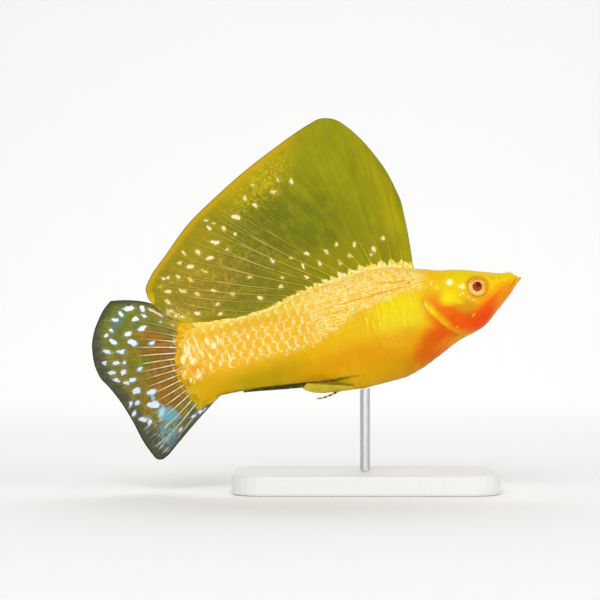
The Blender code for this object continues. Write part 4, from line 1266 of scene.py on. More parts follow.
pigment_group, n, given, made = new_group(
    "Body Pigment", {"Flat": "Vector", "Place": "Vector"},
    {"Color": "Color", "Network": "Float", "Front": "Float"})
where = given["Flat"]
along, _, height = n.parts(where)
n.paint(BASE_GOLD, where, PIGMENT)
above = n.minus(height, network_border(n, along))
broken = n.times(n.minus(n.noise(where, 0.55, 4, 0.65), 0.5), 8)
tan_band = n.minus(1, n.times(n.patch(where, *TAN_BAND), 0.7))
nape = n.rise(n.plus(along, broken), 64.5, 61)
network = n.times(nape, n.rise(n.plus(above, broken), -0.6, 1), tan_band,
                  n.blend(n.rise(along, 3, 12), 0.45, 1))
# Painted shade along the outline: a darker line down the middle of the back, and one under the
# belly
sideways = n.math("ABSOLUTE", n.parts(given["Place"])[1])
front, upper = n.rise(along, 25, 42), n.rise(height, -1, 1)
limit = n.blend(upper, n.blend(front, 0.9, 2.2), 3.2)
strength = n.blend(upper, n.blend(front, 0.85, 0.6), n.times(n.rise(along, 58, 72), 0.4))
dark = n.mix(upper, n.mix(front, (0.13, 0.12, 0), (0.44, 0.24, 0)), (0.4, 0.3, 0))
n.lay(dark, n.rise(sideways, limit, n.times(limit, 0.1)), n.rise(along, 84, 80),
      n.rise(along, 5, 9), strength)
n.give(made, Color=n.colour, Network=network, Front=n.rise(along, 30, 37))
print("pigment group:", len(pigment_group.nodes), "nodes,", len(PIGMENT), "soft patches")

# %% [markdown]
# ## Cream marks at the root of the tail
# Where the body ends, cream runs in short upright strokes over the last scales and onto the fin.
# Scales and fin share this group, so that no stroke stops at the border between them.

# %% The tail root group
root_group, n, given, made = new_group("Tail Root", {"Place": "Vector", "Flat": "Vector"},
                                       {"Pale": "Float", "Tint": "Color"})
strokes = n.grains(n.stretch(given["Place"], 1, 1, 0.25), 0.53, 0.6, 0.8, 3)
zone = n.patch(given["Flat"], 0.4, -0.6, 3.2, 6.4, 0, 0.5)
n.give(made, Pale=n.times(strokes, zone),
       Tint=n.mix(n.grains(given["Place"], 0.42, 0.58, 1.6), (0.96, 0.8, 0.26),
                  (0.98, 0.93, 0.62)))
print("tail root group:", len(root_group.nodes), "nodes")

# %% [markdown]
# ## Markings on the face
# The gill cover carries two cream spots and some small bright lines. They are sharp, and they sit
# at known places, so they are small hard-edged ellipses over the soft pigment.

# %% The skin material
CREAM, PALE = (0.96, 0.84, 0.34), (0.97, 0.88, 0.46)
FACE_MARKS = [
    (68.8, 3.1, 0.85, 0.75, 0, 0.25, (0.97, 0.9, 0.42)),
    (71.5, 1.2, 0.85, 0.42, -22, 0.3, (0.97, 0.84, 0.36)),
    (71.9, 1.6, 0.4, 0.4, 0, 0.35, (0.97, 0.84, 0.36)),
    (71.4, -0.4, 0.22, 0.22, 0, 0.3, PALE), (70.6, -0.6, 0.2, 0.2, 0, 0.3, PALE),
    (72.6, -1.7, 0.2, 0.14, 0, 0.4, CREAM), (73.5, -2.6, 0.5, 0.14, -40, 0.4, CREAM),
    (72.7, -6.2, 0.55, 0.14, 32, 0.5, (0.95, 0.62, 0.02)),
    (68, -8.1, 0.28, 0.22, 0, 0.4, (0.93, 0.45, 0.01)),
    (62.7, -2.6, 2.6, 0.9, -62, 0.95, (0.86, 0.54, 0.003)),
    (61.7, -0.9, 0.8, 0.2, -75, 0.6, (0.95, 0.8, 0.2)),
    (61.2, -1.6, 0.7, 0.14, -60, 0.6, (0.93, 0.74, 0.1)),
    (62.9, -2.9, 1.3, 0.25, -52, 0.9, (0.92, 0.68, 0.03)),
    (64.8, -6.1, 2.6, 1, -56, 0.95, (0.84, 0.42, 0.001)),
    (67.4, -9, 2.8, 0.7, -28, 0.95, (0.8, 0.26, 0.001)),
    (63.4, 5.2, 0.9, 0.2, 70, 0.6, CREAM), (64.4, 4, 0.6, 0.16, 55, 0.7, CREAM),
    (65.5, 2.6, 0.5, 0.35, -40, 0.9, (0.93, 0.7, 0.05)), (62.4, 6.6, 0.8, 0.2, 10, 0.6, CREAM),
    (75, -6, 3, 0.1, 36, 0.9, (0.8, 0.1, 0.001)),
    (79.6, -1.9, 2.2, 0.18, 28, 0.9, (0.9, 0.38, 0.006)),
    (60.2, 1.7, 0.8, 0.42, 8, 0.3, (0.96, 0.84, 0.3)),
    (60.2, 1.7, 0.5, 0.18, 8, 0.3, (0.86, 0.55, 0.02)),
]
ORBIT_SHADE = (76.8, -0.4, 2.8, 3.2, 0, 0.8)
skin_finish, n, shader = new_material("molly skin", Roughness=0.38, Specular_IOR_Level=0.1)
here, steady = n.use(place_group, Wander=0.5), n.use(place_group, Wander=0.12)["Flat"]
place, flat = here["Place"], here["Flat"]
pigment = n.use(pigment_group, Flat=flat, Place=place)
n.paint(pigment["Color"], steady, FACE_MARKS)
n.colour = n.mix(n.rise(n.value("face"), 0.3, 0.7), pigment["Color"], n.colour)
n.lay((0.93, 0.66, 0.03), n.grains(place, 0.52, 0.75, 2.6, 4, 0.7), 0.22)
n.lay((0.72, 0.28, 0.002), n.grains(place, 0.58, 0.8, 5.5, 3, 0.6), 0.3)
n.lay(CREAM, pigment["Network"], n.grains(flat, 0.47, 0.56, 1.3, 3, 0.6), 0.85)
# Painted shade round the rim of the eye socket, strongest in front of and below the eye
n.lay((0.93, 0.36, 0.003), n.rise(n.value("orbit"), 0.1, 0.7),
      n.blend(n.patch(steady, *ORBIT_SHADE), 0.3, 1))
# Painted shade in the mouth slit, the nostril pits and the gill slit, as deep as each point lies in
# them
n.lay((0.74, 0.32, 0.002), n.rise(n.value("hollow"), 0.2, 0.95), 0.5)
n.give(shader, Base_Color=n.colour, Normal=n.bump(0.25, 0.06, n.noise(place, 3, 4, 0.6)))
skin.data.materials.append(skin_finish)
print("skin material:", len(skin_finish.node_tree.nodes), "nodes")

# %% [markdown]
# ## Scales: pigment and pale rims
# Each scale is orange in the middle with a cream rim to the rear, as guanine crystals gather at
# the edge. Further forward the rims break up into short level dashes, about three to a scale.
# Below the network the scales hardly show, because they are as gold as the skin.

# %% The scale material
SHARP_MARKS = [
    (59, 5.4, 0.3, 0.3, 0, 0.6, (0.66, 0.24, 0.01)),
    (35.2, -13.6, 5.2, 0.36, -3, 0.8, (0.12, 0.12, 0.008)),
    (6.9, 3.3, 0.5, 1, 8, 0.4, PALE), (8.2, 2, 0.65, 0.8, -10, 0.4, PALE),
    (9.5, 3, 0.26, 1, -12, 0.5, PALE), (4.1, 3.4, 0.26, 2.6, 10, 0.6, CREAM),
    (2.1, 4, 0.2, 1, 24, 0.6, PALE), (5, 0.8, 0.25, 0.9, -6, 0.5, PALE),
    (6.7, -0.4, 0.25, 0.7, 0, 0.5, PALE), (6.3, -2.6, 0.22, 0.8, 0, 0.5, PALE),
    (8.9, -2.6, 0.24, 0.7, 10, 0.5, PALE), (11.4, -1.9, 0.28, 1.1, 0, 0.5, PALE),
    (2.2, -0.5, 0.9, 0.55, 42, 0.4, PALE), (2.8, -4.5, 0.85, 0.45, 38, 0.4, PALE),
    (0.3, -5.2, 0.9, 0.32, 46, 0.5, PALE), (-0.3, -0.8, 0.32, 2.3, 0, 0.6, PALE),
    (2.4, -2.6, 1, 0.8, 0, 0.8, (0.84, 0.3, 0.006))]
SEAMS = [(50.5, 4.6, 10, 0.24, 1, 0.7), (55, 6.6, 4.4, 0.2, -9, 0.6)]
LEMON = (51, -0.5, 11, 4, -4, 0.5)
scale_finish, n, shader = new_material("molly scales", Roughness=0.38, Specular_IOR_Level=0.1)
here = n.use(place_group, Wander=0.5)
place, flat = here["Place"], here["Flat"]
pigment = n.use(pigment_group, Flat=flat, Place=place)
network, front = pigment["Network"], pigment["Front"]
edge, across, tone = n.value("edge"), n.value("across"), n.value("tone")
grain, fine = n.noise(place, 1.1, 3, 0.6), n.noise(place, 2.6, 3, 0.7)
uneven = n.minus(grain, 0.5)
# To the rear, a pale crescent on the free edge of each scale
bars = n.times(n.rise(n.plus(n.value("reach"), uneven, 0.7), 0.76, 0.9), n.rise(fine, 0.33, 0.43))
links = n.times(n.rise(n.plus(edge, uneven, 1.4), 0.72, 0.9),
                n.rise(n.times(across, across), 0.15, 0.5), n.rise(fine, 0.44, 0.52), 0.85)
flecks = n.times(n.grains(place, 0.55, 0.62, 3.4), 0.35)
crescent = n.most(n.times(n.most(bars, links), n.blend(tone, 0.75, 1)), flecks)
# To the front, level dashes and a mottling in their place
stretched = n.stretch(place, 0.55, 1.6, 1.6)
wave = n.math("COSINE", n.plus(n.times(across, 17), n.noise(stretched, 0.8, 3), 9))
dashes = n.times(n.rise(wave, -0.2, 0.4), n.grains(stretched, 0.38, 0.5, 1.4, 3))
mottle = n.grains(n.stretch(place, 0.7, 1.3, 1.3), 0.45, 0.55, 2.4, 3, 0.6)
lace = n.blend(n.grains(place, 0.44, 0.56, 0.5, 3), mottle, dashes)
pale = n.blend(front, crescent, n.most(lace, n.times(crescent, 0.5)))
n.colour = pigment["Color"]
n.lay((0.88, 0.43, 0.012), n.rise(edge, 0.85, 0.4), network, 0.55)
n.lay(n.mix(n.rise(fine, 0.44, 0.6), (0.95, 0.75, 0.19), (0.98, 0.9, 0.48)), pale, network, 0.96)
n.lay((0.92, 0.8, 0.08), n.patch(flat, *LEMON),
      n.grains(n.stretch(place, 2.2, 1, 0.22), 0.52, 0.66, 1, 2, 0.5), 0.5)
n.lay((0.93, 0.62, 0.02), n.rise(tone, 0.4, 1), 0.1)
n.lay((0.88, 0.42, 0.01), n.grains(n.stretch(place, 0.3, 1.4, 1.4), 0.55, 0.63, 0.8), front,
      network, 0.55)
n.lay((0.82, 0.32, 0.003), n.most(*(n.patch(flat, *seam) for seam in SEAMS)),
      n.rise(grain, 0.32, 0.5), 0.85)
n.paint(n.colour, n.use(place_group, Wander=0.35)["Flat"], SHARP_MARKS)
root_marks = n.use(root_group, Place=place, Flat=flat)
n.lay(root_marks["Tint"], root_marks["Pale"], 0.85)
n.give(shader, Base_Color=n.colour, Normal=n.bump(0.2, 0.05, fine))
coat = lay_scales(scale_finish)
while coat.data.materials and coat.data.materials[0] is None:
    coat.data.materials.pop(index=0)
print("scale triangles:", triangles(coat), "of", len(roots), "scales")

# %% [markdown]
# ## Eyes: iris, pupil and cornea
# The iris is cream to pink behind the pupil and yellow before it, with a fine bright ring next to
# the pupil; its pale lower left is partly a painted highlight, and its darker top a painted shade.
# The pupil looks dark red, because light comes back out of the eye of this gold form.

# %% The eye materials
# Paler to the left and below, partly a painted highlight; darker orange on top, painted shade under
# the lid
IRIS_TINTS_AND_PAINTED_LIGHT = [(73.9, 0.3, 1.1, 1.6, 0, 0.5, (0.98, 0.66, 0.21)),
                (77.1, 0.3, 0.55, 1.6, 0, 0.5, (0.9, 0.5, 0.008)),
                (75.3, 2.2, 1.9, 0.8, 0, 0.7, (0.86, 0.4, 0.008)),
                (75.4, -1.3, 1.3, 0.5, 0, 0.5, (0.97, 0.7, 0.12))]
# Where each ring starts and is full, counted from the eye's axis, and its colour
IRIS_RINGS = [(2, 2.45, (0.84, 0.32, 0.003)), (1.6, 1.3, (0.97, 0.73, 0.22)),
              (1.32, 1.2, (0.55, 0.16, 0.008))]
PUPIL_SHADE = (75.7, 0.8, 0.75, 0.75, 0, 0.8)
iris_finish, n, shader = new_material("molly iris", Specular_IOR_Level=0.12)
here = n.use(place_group, Wander=0.06)
radius = n.plus(n.value("radius"), n.minus(n.noise(here["Place"], 2.2, 3), 0.5), 0.16)
fibres = n.noise(here["Place"], 7, 3, 0.7)
iris = n.mix(n.rise(fibres, 0.35, 0.7), (0.9, 0.48, 0.05), (0.95, 0.66, 0.13))
n.paint(iris, here["Flat"], IRIS_TINTS_AND_PAINTED_LIGHT)
for start, full, colour in IRIS_RINGS:
    n.lay(colour, n.rise(radius, start, full))
# The pupil is painted darker towards the top front, as shade under the lid
pupil = n.mix(n.patch(here["Flat"], *PUPIL_SHADE), (0.5, 0.045, 0.002), (0.13, 0.008, 0.001))
n.lay(pupil, n.rise(radius, 1.22, 1.1))
n.give(shader, Base_Color=n.colour, Roughness=n.blend(fibres, 0.5, 0.3))
cornea_finish, n, shader = new_material("cornea", Roughness=0.03, Transmission_Weight=1.0,
                                        IOR=1.14)
clear = n.noise(n.use(place_group, Wander=0)["Place"], 0.5)
n.give(shader, Base_Color=n.mix(clear, (1, 1, 0.99), (1, 0.99, 0.98)))
for ball, dome in zip(eyes, corneas):
    ball.data.materials.append(iris_finish)
    dome.data.materials.append(cornea_finish)
print("eye materials:", len(iris_finish.node_tree.nodes), "nodes")

# %% [markdown]
# ## Rays and spots on the fins
# One group draws the rays by the same folding that shaped their ridges, so colour and relief meet.
# A second group turns the stored distance to the nearest spot into a crisp, uneven blot. Both
# fins use them, each with its own colours.

# %% Shared fin groups
ray_group, n, given, made = new_group("Fin Rays", {"Width": "Float"},
                                      {"Line": "Float", "Beside": "Float"})
beside, along = n.from_whole(n.value("place")), n.value("along")
for start, end, spread in (FIRST_FORK, SECOND_FORK):
    beside = n.math("ABSOLUTE", n.minus(beside, n.times(n.rise(along, start, end), spread)))
beside = n.times(beside, n.value("pitch"))
n.give(made, Beside=beside,
       Line=n.rise(beside, given["Width"], n.times(given["Width"], 0.35)))

spot_group, n, given, made = new_group("Fin Spots", {"Flat": "Vector", "Place": "Vector"},
                                       {"Spot": "Float", "Halo": "Float", "Tint": "Float"})
uneven = n.minus(n.noise(given["Place"], 1.25, 3, 0.65), 0.5)
field = n.plus(n.value("spot"), uneven, 1.3)
n.give(made, Spot=n.rise(field, 0.1, -0.1), Halo=n.rise(field, 0.6, 0),
       Tint=n.grains(given["Flat"], 0.42, 0.6, 0.35, 1))


def tall_fin(name, wander, **uniform):
    """A fin's material with the values that both tall fins read."""
    material, n, shader = new_material(name, Specular_IOR_Level=0.1, **uniform)
    here, rays = n.use(place_group, Wander=wander), n.use(ray_group, Width=0.22)
    spots = n.use(spot_group, Flat=here["Flat"], Place=here["Place"])
    return (material, n, shader, here, rays, spots,
            n.value("along"), n.value("height"), n.value("edge"))


print("fin groups:", len(ray_group.nodes), "and", len(spot_group.nodes), "nodes")

# %% [markdown]
# ## The sail's colours
# Olive yellow, browner to the rear, with an orange hem along the top and a thin dark line at the
# very edge. The rays show yellow near the back and fade towards the margin. Cream from the back
# climbs a little way up each ray.

# %% The sail material
SAIL_PATCHES = [
    (50, 44, 16, 8, 20, 0.6, (0.25, 0.26, 0)),
    (58.8, 24, 2.6, 18, 12, 0.8, (0.4, 0.34, 0)),
    (50, 30, 7, 12, 10, 0.7, (0.27, 0.26, 0)),
    (38, 26, 9, 9, 0, 0.8, (0.16, 0.18, 0)),
    (26, 26, 9, 9, 30, 0.7, (0.15, 0.16, 0.002)),
    (29, 16, 12, 5, 20, 0.7, (0.17, 0.155, 0.004)),
    (18, 16, 9, 6, 10, 0.7, (0.18, 0.16, 0.01)),
    (6, 18, 9, 8, 20, 0.7, (0.3, 0.21, 0.012)),
    (26, 41, 16, 4.5, 25, 0.8, (0.4, 0.31, 0.001)),
    (10, 28, 8, 6, 35, 0.8, (0.32, 0.24, 0.006)),
    (44, 15.5, 16, 3, 0, 0.8, (0.26, 0.23, 0.001)),
    (-4.2, 17, 0.9, 1.3, 0, 0.5, (0.74, 0.6, 0.01)),
]
LAST_RAY = DORSAL_RAYS - 1
ROOT_SHADE, DUSTY = (2.6, 9.4, 3.4, 1.8, -25, 0.9), (29, 38.5, 9, 4, 33, 0.7)
FLECKED, DABBED = (8, 18, 16, 8, 20, 0.5), (1, 12.2, 3.2, 1.3, -30, 0.7)
sail_finish, n, shader, here, rays, spots, along, height, edge = tall_fin(
    "sail", 1.2, Roughness=0.42)
place, flat, line, ray_place = here["Place"], here["Flat"], rays["Line"], n.value("place")
n.paint((0.24, 0.22, 0.001), flat, SAIL_PATCHES)
cloud = n.noise(place, 0.28, 4, 0.6)
n.lay((0.38, 0.34, 0.002), n.rise(cloud, 0.45, 0.7), 0.35)
on_rays = n.add("ShaderNodeCombineXYZ", {0: n.times(ray_place, 2.6), 1: n.times(along, 2.2)})
streaks = n.noise(on_rays.outputs[0], 1, 3, 0.6)
n.lay((0.42, 0.38, 0.003), n.rise(streaks, 0.5, 0.72), 0.3)
n.lay((0.14, 0.155, 0), n.rise(streaks, 0.48, 0.3), 0.35)
n.lay((0.64, 0.46, 0.008), n.patch(flat, *DUSTY), n.grains(place, 0.48, 0.58, 1.2, 4, 0.7), 0.75)
n.lay((0.57, 0.36, 0.001), n.rise(edge, 2.4, 0.6), n.rise(here["Along"], 46, 34), 0.85)
# Rays: long and yellow in front, short and cream to the rear
rear = n.rise(here["Along"], 44, 20)
fade = n.rise(along, n.blend(rear, 0.3, 0.95), n.blend(rear, 0, 0.4))
# A painted shadow beside each of the rear rays
n.lay((0.13, 0.13, 0), n.rise(rays["Beside"], 0.9, 0.3), fade, rear, 0.3)
n.lay(n.mix(rear, (0.66, 0.54, 0.005), (0.66, 0.46, 0.13)), line, fade,
      n.rise(cloud, 0.2, 0.5), n.rise(ray_place, LAST_RAY - 0.4, LAST_RAY - 0.8), 0.75)
n.lay((0.56, 0.4, 0.01), n.patch(flat, *ROOT_SHADE))
n.lay((0.46, 0.42, 0.02), line, n.blend(rear, 0.06, 0.16))
contour = n.math("ABSOLUTE", n.minus(n.noise(place, 0.33, 3, 0.6), 0.5))
n.lay((0.66, 0.5, 0.2), n.rise(contour, 0.012, 0.003), rear, n.rise(along, 0.95, 0.6), 0.3)
n.lay((0.66, 0.36, 0.03), n.grains(place, 0.57, 0.63, 1.1, 3, 0.65), rear,
      n.patch(flat, *FLECKED), 0.65)
# Spots, and a few loose dabs above the root of the tail
dabs = n.times(n.grains(n.stretch(place, 1, 1, 0.6), 0.53, 0.58, 1.3, 3),
               n.patch(flat, *DABBED), 0.6)
n.lay((0.5, 0.42, 0.06), spots["Halo"], 0.3)
n.lay(n.mix(spots["Tint"], (0.93, 0.84, 0.5), (0.9, 0.62, 0.16)),
      n.most(n.times(spots["Spot"], 0.92), dabs))
# Cream from the back, climbing highest on the rays
peak = n.math("POWER", n.minus(1, n.times(n.from_whole(ray_place), 2)), 1.6)
climb = n.plus(n.plus(0.9, peak, n.blend(rear, 0.9, 0.3)), n.minus(streaks, 0.5), 2)
n.lay(n.mix(n.grains(place, 0.42, 0.54, 1.4, 3), (0.9, 0.62, 0.02), CREAM),
      n.rise(n.minus(height, climb), 0.2, -0.2), 0.95)
n.lay((0.13, 0.12, 0.003), n.rise(edge, 0.32, 0.1), 0.7)
n.give(shader, Base_Color=n.colour, Normal=n.bump(0.35, 0.12, n.plus(line, streaks, 0.5)))
dorsal.data.materials.append(sail_finish)
print("sail material:", len(sail_finish.node_tree.nodes), "nodes")

# %% [markdown]
# ## The tail fin's colours
# Orange brown between cream rays near the body, olive beyond, then a grey clear hem. Pale blue
# white spots crowd the outer half, and the lower lobe has a cyan sheen. The tints of the hem and
# the sheen are structural in life; plain pigment gives them here, as a museum painter would.

# %% The tail fin material
TAIL_PATCHES = [
    (-12, 12, 8, 9, 0, 0.6, (0.17, 0.19, 0.012)),
    (-9, 0, 7, 8, 0, 0.6, (0.22, 0.17, 0.012)),
    (-5, 2.5, 5, 5, 0, 0.5, (0.27, 0.115, 0.006)),
    (-5.5, -5.5, 5.5, 5, 40, 0.5, (0.3, 0.13, 0.004)),
    (-6.5, 8.3, 3.4, 1.3, -20, 0.6, (0.38, 0.15, 0.008)),
    (-4.5, 5.4, 2.2, 0.5, -6, 0.6, (0.55, 0.13, 0.006)),
    (-10.5, 2.3, 2.6, 1.2, 0, 0.5, (0.17, 0.19, 0.004)),
    (-11, -8.8, 2.4, 1.5, 50, 0.5, (0.24, 0.12, 0.004)),
    (-8.5, -11, 1.6, 1, 40, 0.5, (0.36, 0.2, 0.004)),
    (-12, -20, 4, 6, 20, 0.7, (0.075, 0.085, 0.07)),
    (-1.5, -16, 6, 2.5, 48, 0.7, (0.16, 0.2, 0.12)),
    (-2, 12.5, 5, 2.8, -36, 0.6, (0.28, 0.24, 0.02)),
]
TAIL_SHEEN = [
    (-6.9, -11.9, 3, 1.6, -26, 0.2, (0.15, 0.38, 0.46)),
    (-8.4, -10.9, 0.7, 1.5, -26, 0.5, (0.42, 0.66, 0.78)),
    (-9.9, -6.5, 0.5, 1.2, 8, 0.3, (0.22, 0.5, 0.66)),
    (-13.8, 13.6, 3, 1.1, 55, 0.9, (0.1, 0.2, 0.15)),
    (-9.9, -8.6, 0.95, 0.75, 30, 0.3, (0.66, 0.8, 0.92))]
LOWER_LOBE_SHEEN, CREAM_EDGE = (-7.8, -16, 2.2, 3.6, -10, 0.6), (-4, 13.6, 2.1, 0.36, -42, 0.3)
tail_finish, n, shader, here, rays, spots, along, height, edge = tall_fin(
    "tail fin", 0.9, Roughness=0.4)
place, flat, line, up = here["Place"], here["Flat"], rays["Line"], here["Height"]
n.paint((0.18, 0.17, 0.015), flat, TAIL_PATCHES)
cloud = n.noise(place, 0.5, 4, 0.6)
n.lay((0.32, 0.26, 0.02), n.rise(cloud, 0.48, 0.62), 0.5)
n.lay((0.1, 0.11, 0.02), n.rise(cloud, 0.46, 0.34), 0.4)
# The clear hem, which stops where the sail lies before the fin
open_edge = n.minus(1, n.times(n.rise(here["Along"], -6, -4.6), n.rise(up, 3, 5)))
inward = n.plus(n.plus(edge, n.rise(up, 8, 14), 1.6), cloud, 2.4)
hem = n.times(n.rise(inward, 5.4, 3), open_edge)
n.lay((0.072, 0.072, 0.04), hem, 0.92)
n.lay((0.11, 0.13, 0.1), hem, n.rise(cloud, 0.45, 0.65), 0.4)
# A cyan haze on the lower lobe, part of its painted sheen
n.lay((0.15, 0.33, 0.38), n.patch(flat, *LOWER_LOBE_SHEEN), n.grains(flat, 0.35, 0.6, 0.9, 3))
n.paint(n.colour, flat, TAIL_SHEEN)
# Rays: cream near the body, faint beyond, bluish in the lower lobe
mid = n.rise(n.plus(along, cloud, 0.3), 0.68, 0.5)
# Darker brown between the rays near the body: partly the membrane's own colour, partly a painted
# shadow beside each ray
n.lay((0.16, 0.07, 0.003), n.rise(rays["Beside"], 0.75, 0.2), mid, 0.35)
n.lay(n.mix(n.rise(along, 0.05, 0.5), (0.95, 0.88, 0.68), (0.74, 0.64, 0.42)), line, mid,
      n.blend(n.rise(up, 4.5, 8.5), 1, 0.25), n.blend(n.grains(place, 0.35, 0.55, 0.8, 3), 0.55, 1))
n.lay((0.42, 0.42, 0.3), line, n.rise(edge, 0.5, 4), 0.1)
n.lay((0.62, 0.72, 0.74), line, n.rise(up, -9, -14), n.rise(edge, 1.2, 3.6),
      n.rise(cloud, 0.4, 0.6), 0.6)
# Spots: blue white, greener above, gilt beside the body
n.lay((0.86, 0.82, 0.58), n.patch(flat, *CREAM_EDGE))
spot_colour = n.mix(n.rise(up, 5, 12), (0.72, 0.82, 0.98), (0.9, 0.98, 0.98))
gilt = n.times(n.rise(here["Along"], -4.6, -3.4), n.rise(up, 6, 8))
n.lay((0.28, 0.34, 0.33), spots["Halo"], 0.35)
n.lay(n.mix(gilt, spot_colour, (0.82, 0.7, 0.34)), spots["Spot"], 0.97)
n.lay((0.56, 0.4, 0.01), n.patch(flat, *ROOT_SHADE))
# Flesh and cream strokes reach from the body onto the fin
flesh = n.plus(height, cloud, 5)
pigment = n.use(pigment_group, Flat=flat, Place=place)
root_marks = n.use(root_group, Place=place, Flat=flat)
gold = n.mix(n.rise(cloud, 0.4, 0.6), pigment["Color"], (0.74, 0.4, 0.003))
gold = n.mix(n.rise(up, -3.5, -7), gold, (0.56, 0.37, 0.004))
gold = n.mix(n.times(root_marks["Pale"], 0.85), gold, root_marks["Tint"])
n.lay(gold, n.rise(flesh, 4.2, 2.8))
n.lay(root_marks["Tint"], n.rise(flesh, 5.2, 3.8), root_marks["Pale"], 0.9)
n.lay((0.02, 0.022, 0.016), n.rise(edge, 0.42, 0.15), open_edge, 0.85)
n.give(shader, Base_Color=n.colour, Normal=n.bump(0.35, 0.12, line))
caudal.data.materials.append(tail_finish)
print("tail fin material:", len(tail_finish.node_tree.nodes), "nodes")

# %% [markdown]
# ## Clear and dark fins
# The pectorals are glass-clear with a breath of yellow on the rays. The pelvic fins are olive
# yellow, their threads are ringed with dark bands, and the gonopodium is nearly black.

# %% Pectoral, pelvic and gonopodium materials
def small_fin(name, width, specular):
    """A small fin's material, with its rays' lines and a film of noise."""
    material, n, shader = new_material(name, Roughness=0.4, Specular_IOR_Level=specular)
    film = n.noise(n.use(place_group, Wander=0.3)["Place"], 0.6, 3)
    return material, n, shader, n.use(ray_group, Width=width)["Line"], film


clear_finish, n, shader, line, film = small_fin("clear fin", 0.3, 0.1)
opaque = n.plus(n.times(line, 0.05), film, 0.02)
n.give(shader, Base_Color=n.mix(line, (0.82, 0.52, 0.005), (0.92, 0.72, 0.08)),
       Alpha=n.plus(opaque, n.rise(n.value("edge"), 0.3, 0), 0.02))

olive_finish, n, shader, line, film = small_fin("olive fin", 0.26, 0.25)
n.colour = n.mix(n.rise(film, 0.35, 0.65), (0.42, 0.32, 0.002), (0.6, 0.46, 0.006))
n.lay((0.72, 0.55, 0.03), line, 0.6)
n.lay((0.12, 0.1, 0.003), n.rise(n.value("edge"), 0.3, 0.08), 0.7)
n.give(shader, Base_Color=n.colour)

thread_finish, n, shader = new_material("pelvic thread", Roughness=0.4, Specular_IOR_Level=0.25)
bands = n.math("SINE", n.times(n.value("along"), 4.6))
n.give(shader, Base_Color=n.mix(n.rise(bands, -0.3, 0.5), (0.62, 0.5, 0.06), (0.07, 0.06, 0.01)))

dark_finish, n, shader = new_material("dark fin", Roughness=0.5, Specular_IOR_Level=0.1)
mottle = n.grains(n.use(place_group, Wander=0.3)["Place"], 0.4, 0.65, 0.9, 3)
n.colour = n.mix(mottle, (0.03, 0.038, 0.008), (0.11, 0.115, 0.012))
n.lay((0.45, 0.33, 0.01), n.rise(n.value("along"), 2.5, 0))
n.give(shader, Base_Color=n.colour)
for pieces, finish in ((pectorals, clear_finish), (pelvics, olive_finish),
                       (threads, thread_finish), ([gonopodium], dark_finish)):
    for piece in pieces:
        piece.data.materials.append(finish)
print("small fins finished")

# %% [markdown]
# ## The stand
# The stand isn't part of the fish, so it stays quiet: satin white paint on the base, and a rod of
# brushed steel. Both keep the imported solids' own shape and only get a finish.

# %% Stand materials
paint_finish, n, shader = new_material("stand paint", Specular_IOR_Level=0.3)
grain = n.noise(n.add("ShaderNodeTexCoord").outputs["Object"], 900, 3)
n.give(shader, Base_Color=n.mix(grain, (0.8, 0.8, 0.78), (0.86, 0.86, 0.85)),
       Roughness=n.blend(grain, 0.4, 0.55))
steel_finish, n, shader = new_material("brushed steel", Metallic=1.0)
brushed = n.noise(n.stretch(n.add("ShaderNodeTexCoord").outputs["Object"], 2500, 2500, 120), 1)
n.give(shader, Base_Color=n.mix(brushed, (0.55, 0.55, 0.56), (0.72, 0.72, 0.72)),
       Roughness=n.blend(brushed, 0.25, 0.42))
for name, finish in (("stand_base", paint_finish), ("stand_rod", steel_finish)):
    mesh = frame["nodes"][name].data
    mesh.materials.clear()
    mesh.materials.append(finish)
print("stand finished")

# %% [markdown]
# ## Joining the pieces to the imported part
# Each piece rides on the part's one body and takes the place of the solids that it dresses.

# %% Ride and replace
dressed = [(skin, ("head", "torso", "tail"), "skin"), (coat, (), "skin"),
           (dorsal, ("dorsal_fin",), "dorsal_fin"), (caudal, ("caudal_fin",), "caudal_fin"),
           (gonopodium, ("gonopodium",), "dark_fin")]
for k, word in enumerate(("left", "right")):
    dressed += [(eyes[k], ("eye_" + word,), "eye"), (corneas[k], (), "eye"),
                (pectorals[k], ("pectoral_fin_" + word,), "clear_fin"),
                (pelvics[k], ("pelvic_fin_" + word,), "clear_fin"), (threads[k], (), "clear_fin")]
for piece, nodes, slot in dressed:
    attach(piece, "root")
    if nodes:
        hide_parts(*nodes)
print("pieces:", len(dressed), "triangles in all:", sum(triangles(p) for p, _, _ in dressed))


# %% [markdown]
# ## Studio
# A pale floor that curves up into a backdrop, large soft lights, and a long lens level with the
# fish, as the photograph has it.

# %% Floor, backdrop, lights and camera
scene = bpy.context.scene
scene.view_settings.view_transform = "Standard"


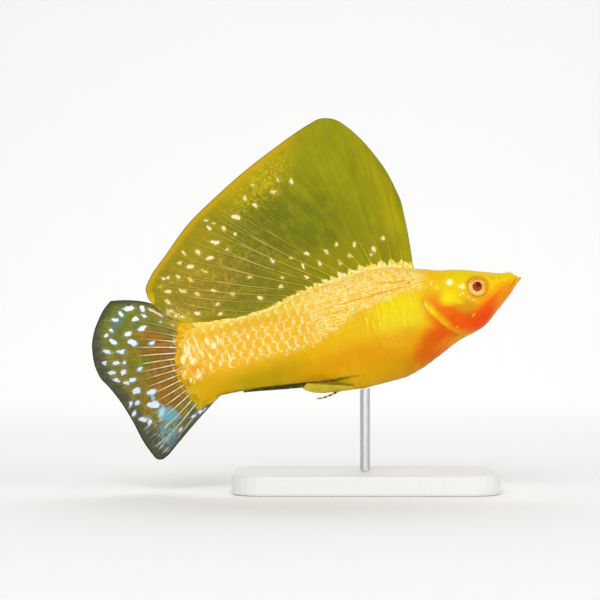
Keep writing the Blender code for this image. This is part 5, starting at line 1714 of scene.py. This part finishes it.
def add_backdrop():
    """A floor that bends up into a wall behind the model."""
    half_width, front, bend, radius, top = 1.6, -1.1, 0.55, 0.35, 1.5
    profile = [(front, 0), (bend, 0)]
    for k in range(1, 17):
        a = math.pi / 2 * k / 16
        profile.append((bend + radius * math.sin(a), radius * (1 - math.cos(a))))
    profile.append((bend + radius, top))
    points = [(x, y, z) for x in (-half_width, half_width) for y, z in profile]
    count = len(profile)
    faces = [(k, k + count, k + count + 1, k + 1) for k in range(count - 1)]
    mesh = bpy.data.meshes.new("backdrop")
    mesh.from_pydata(points, [], faces)
    mesh.shade_smooth()
    mesh.materials.append(new_material("backdrop paper", Base_Color=(0.96, 0.96, 0.955),
                                       Roughness=0.8, Specular_IOR_Level=0.1)[0])
    link_object("backdrop", mesh)


def add_light(name, place, target, size, power, glossy):
    data = bpy.data.lights.new(name, "AREA")
    data.shape = "RECTANGLE"
    data.size, data.size_y = size
    data.energy = power
    obj = link_object(name, data)
    obj.location, obj.visible_glossy = place, glossy
    aim = Vector(target) - Vector(place)
    obj.rotation_euler = aim.to_track_quat("-Z", "Y").to_euler()


add_backdrop()
# Place, size in metres and power. The back light lifts the paper and the fins; seen as a gloss,
# it would draw a white band on the back.
LIGHTS = {
    "key": ((-0.25, -0.75, 0.75), (0.8, 0.6), 4), "fill": ((0.7, -0.5, 0.35), (0.5, 0.5), 1.5),
    "back": ((0, 0.75, 0.7), (1, 0.5), 3.6), "low": ((0, -0.7, 0.1), (0.9, 0.2), 0.9)}
MIDDLE = (-0.012, 0, 0.05)
for name, (place, size, power) in LIGHTS.items():
    add_light(name, place, MIDDLE, size, power, name != "back")
world = bpy.data.worlds.new("studio air")
scene.world = world
world.use_nodes = True
air = world.node_tree.nodes["Background"].inputs
air["Color"].default_value, air["Strength"].default_value = (1, 1, 1, 1), 0.42

camera_data = bpy.data.cameras.new("camera")
camera_data.lens = 144
camera_data.sensor_width = 36
camera_data.clip_start, camera_data.clip_end = 0.01, 10
camera = link_object("camera", camera_data)
camera.location = (-0.01625, -0.6, 0.04775)
camera.rotation_euler = (math.pi / 2, 0, 0)
scene.camera = camera
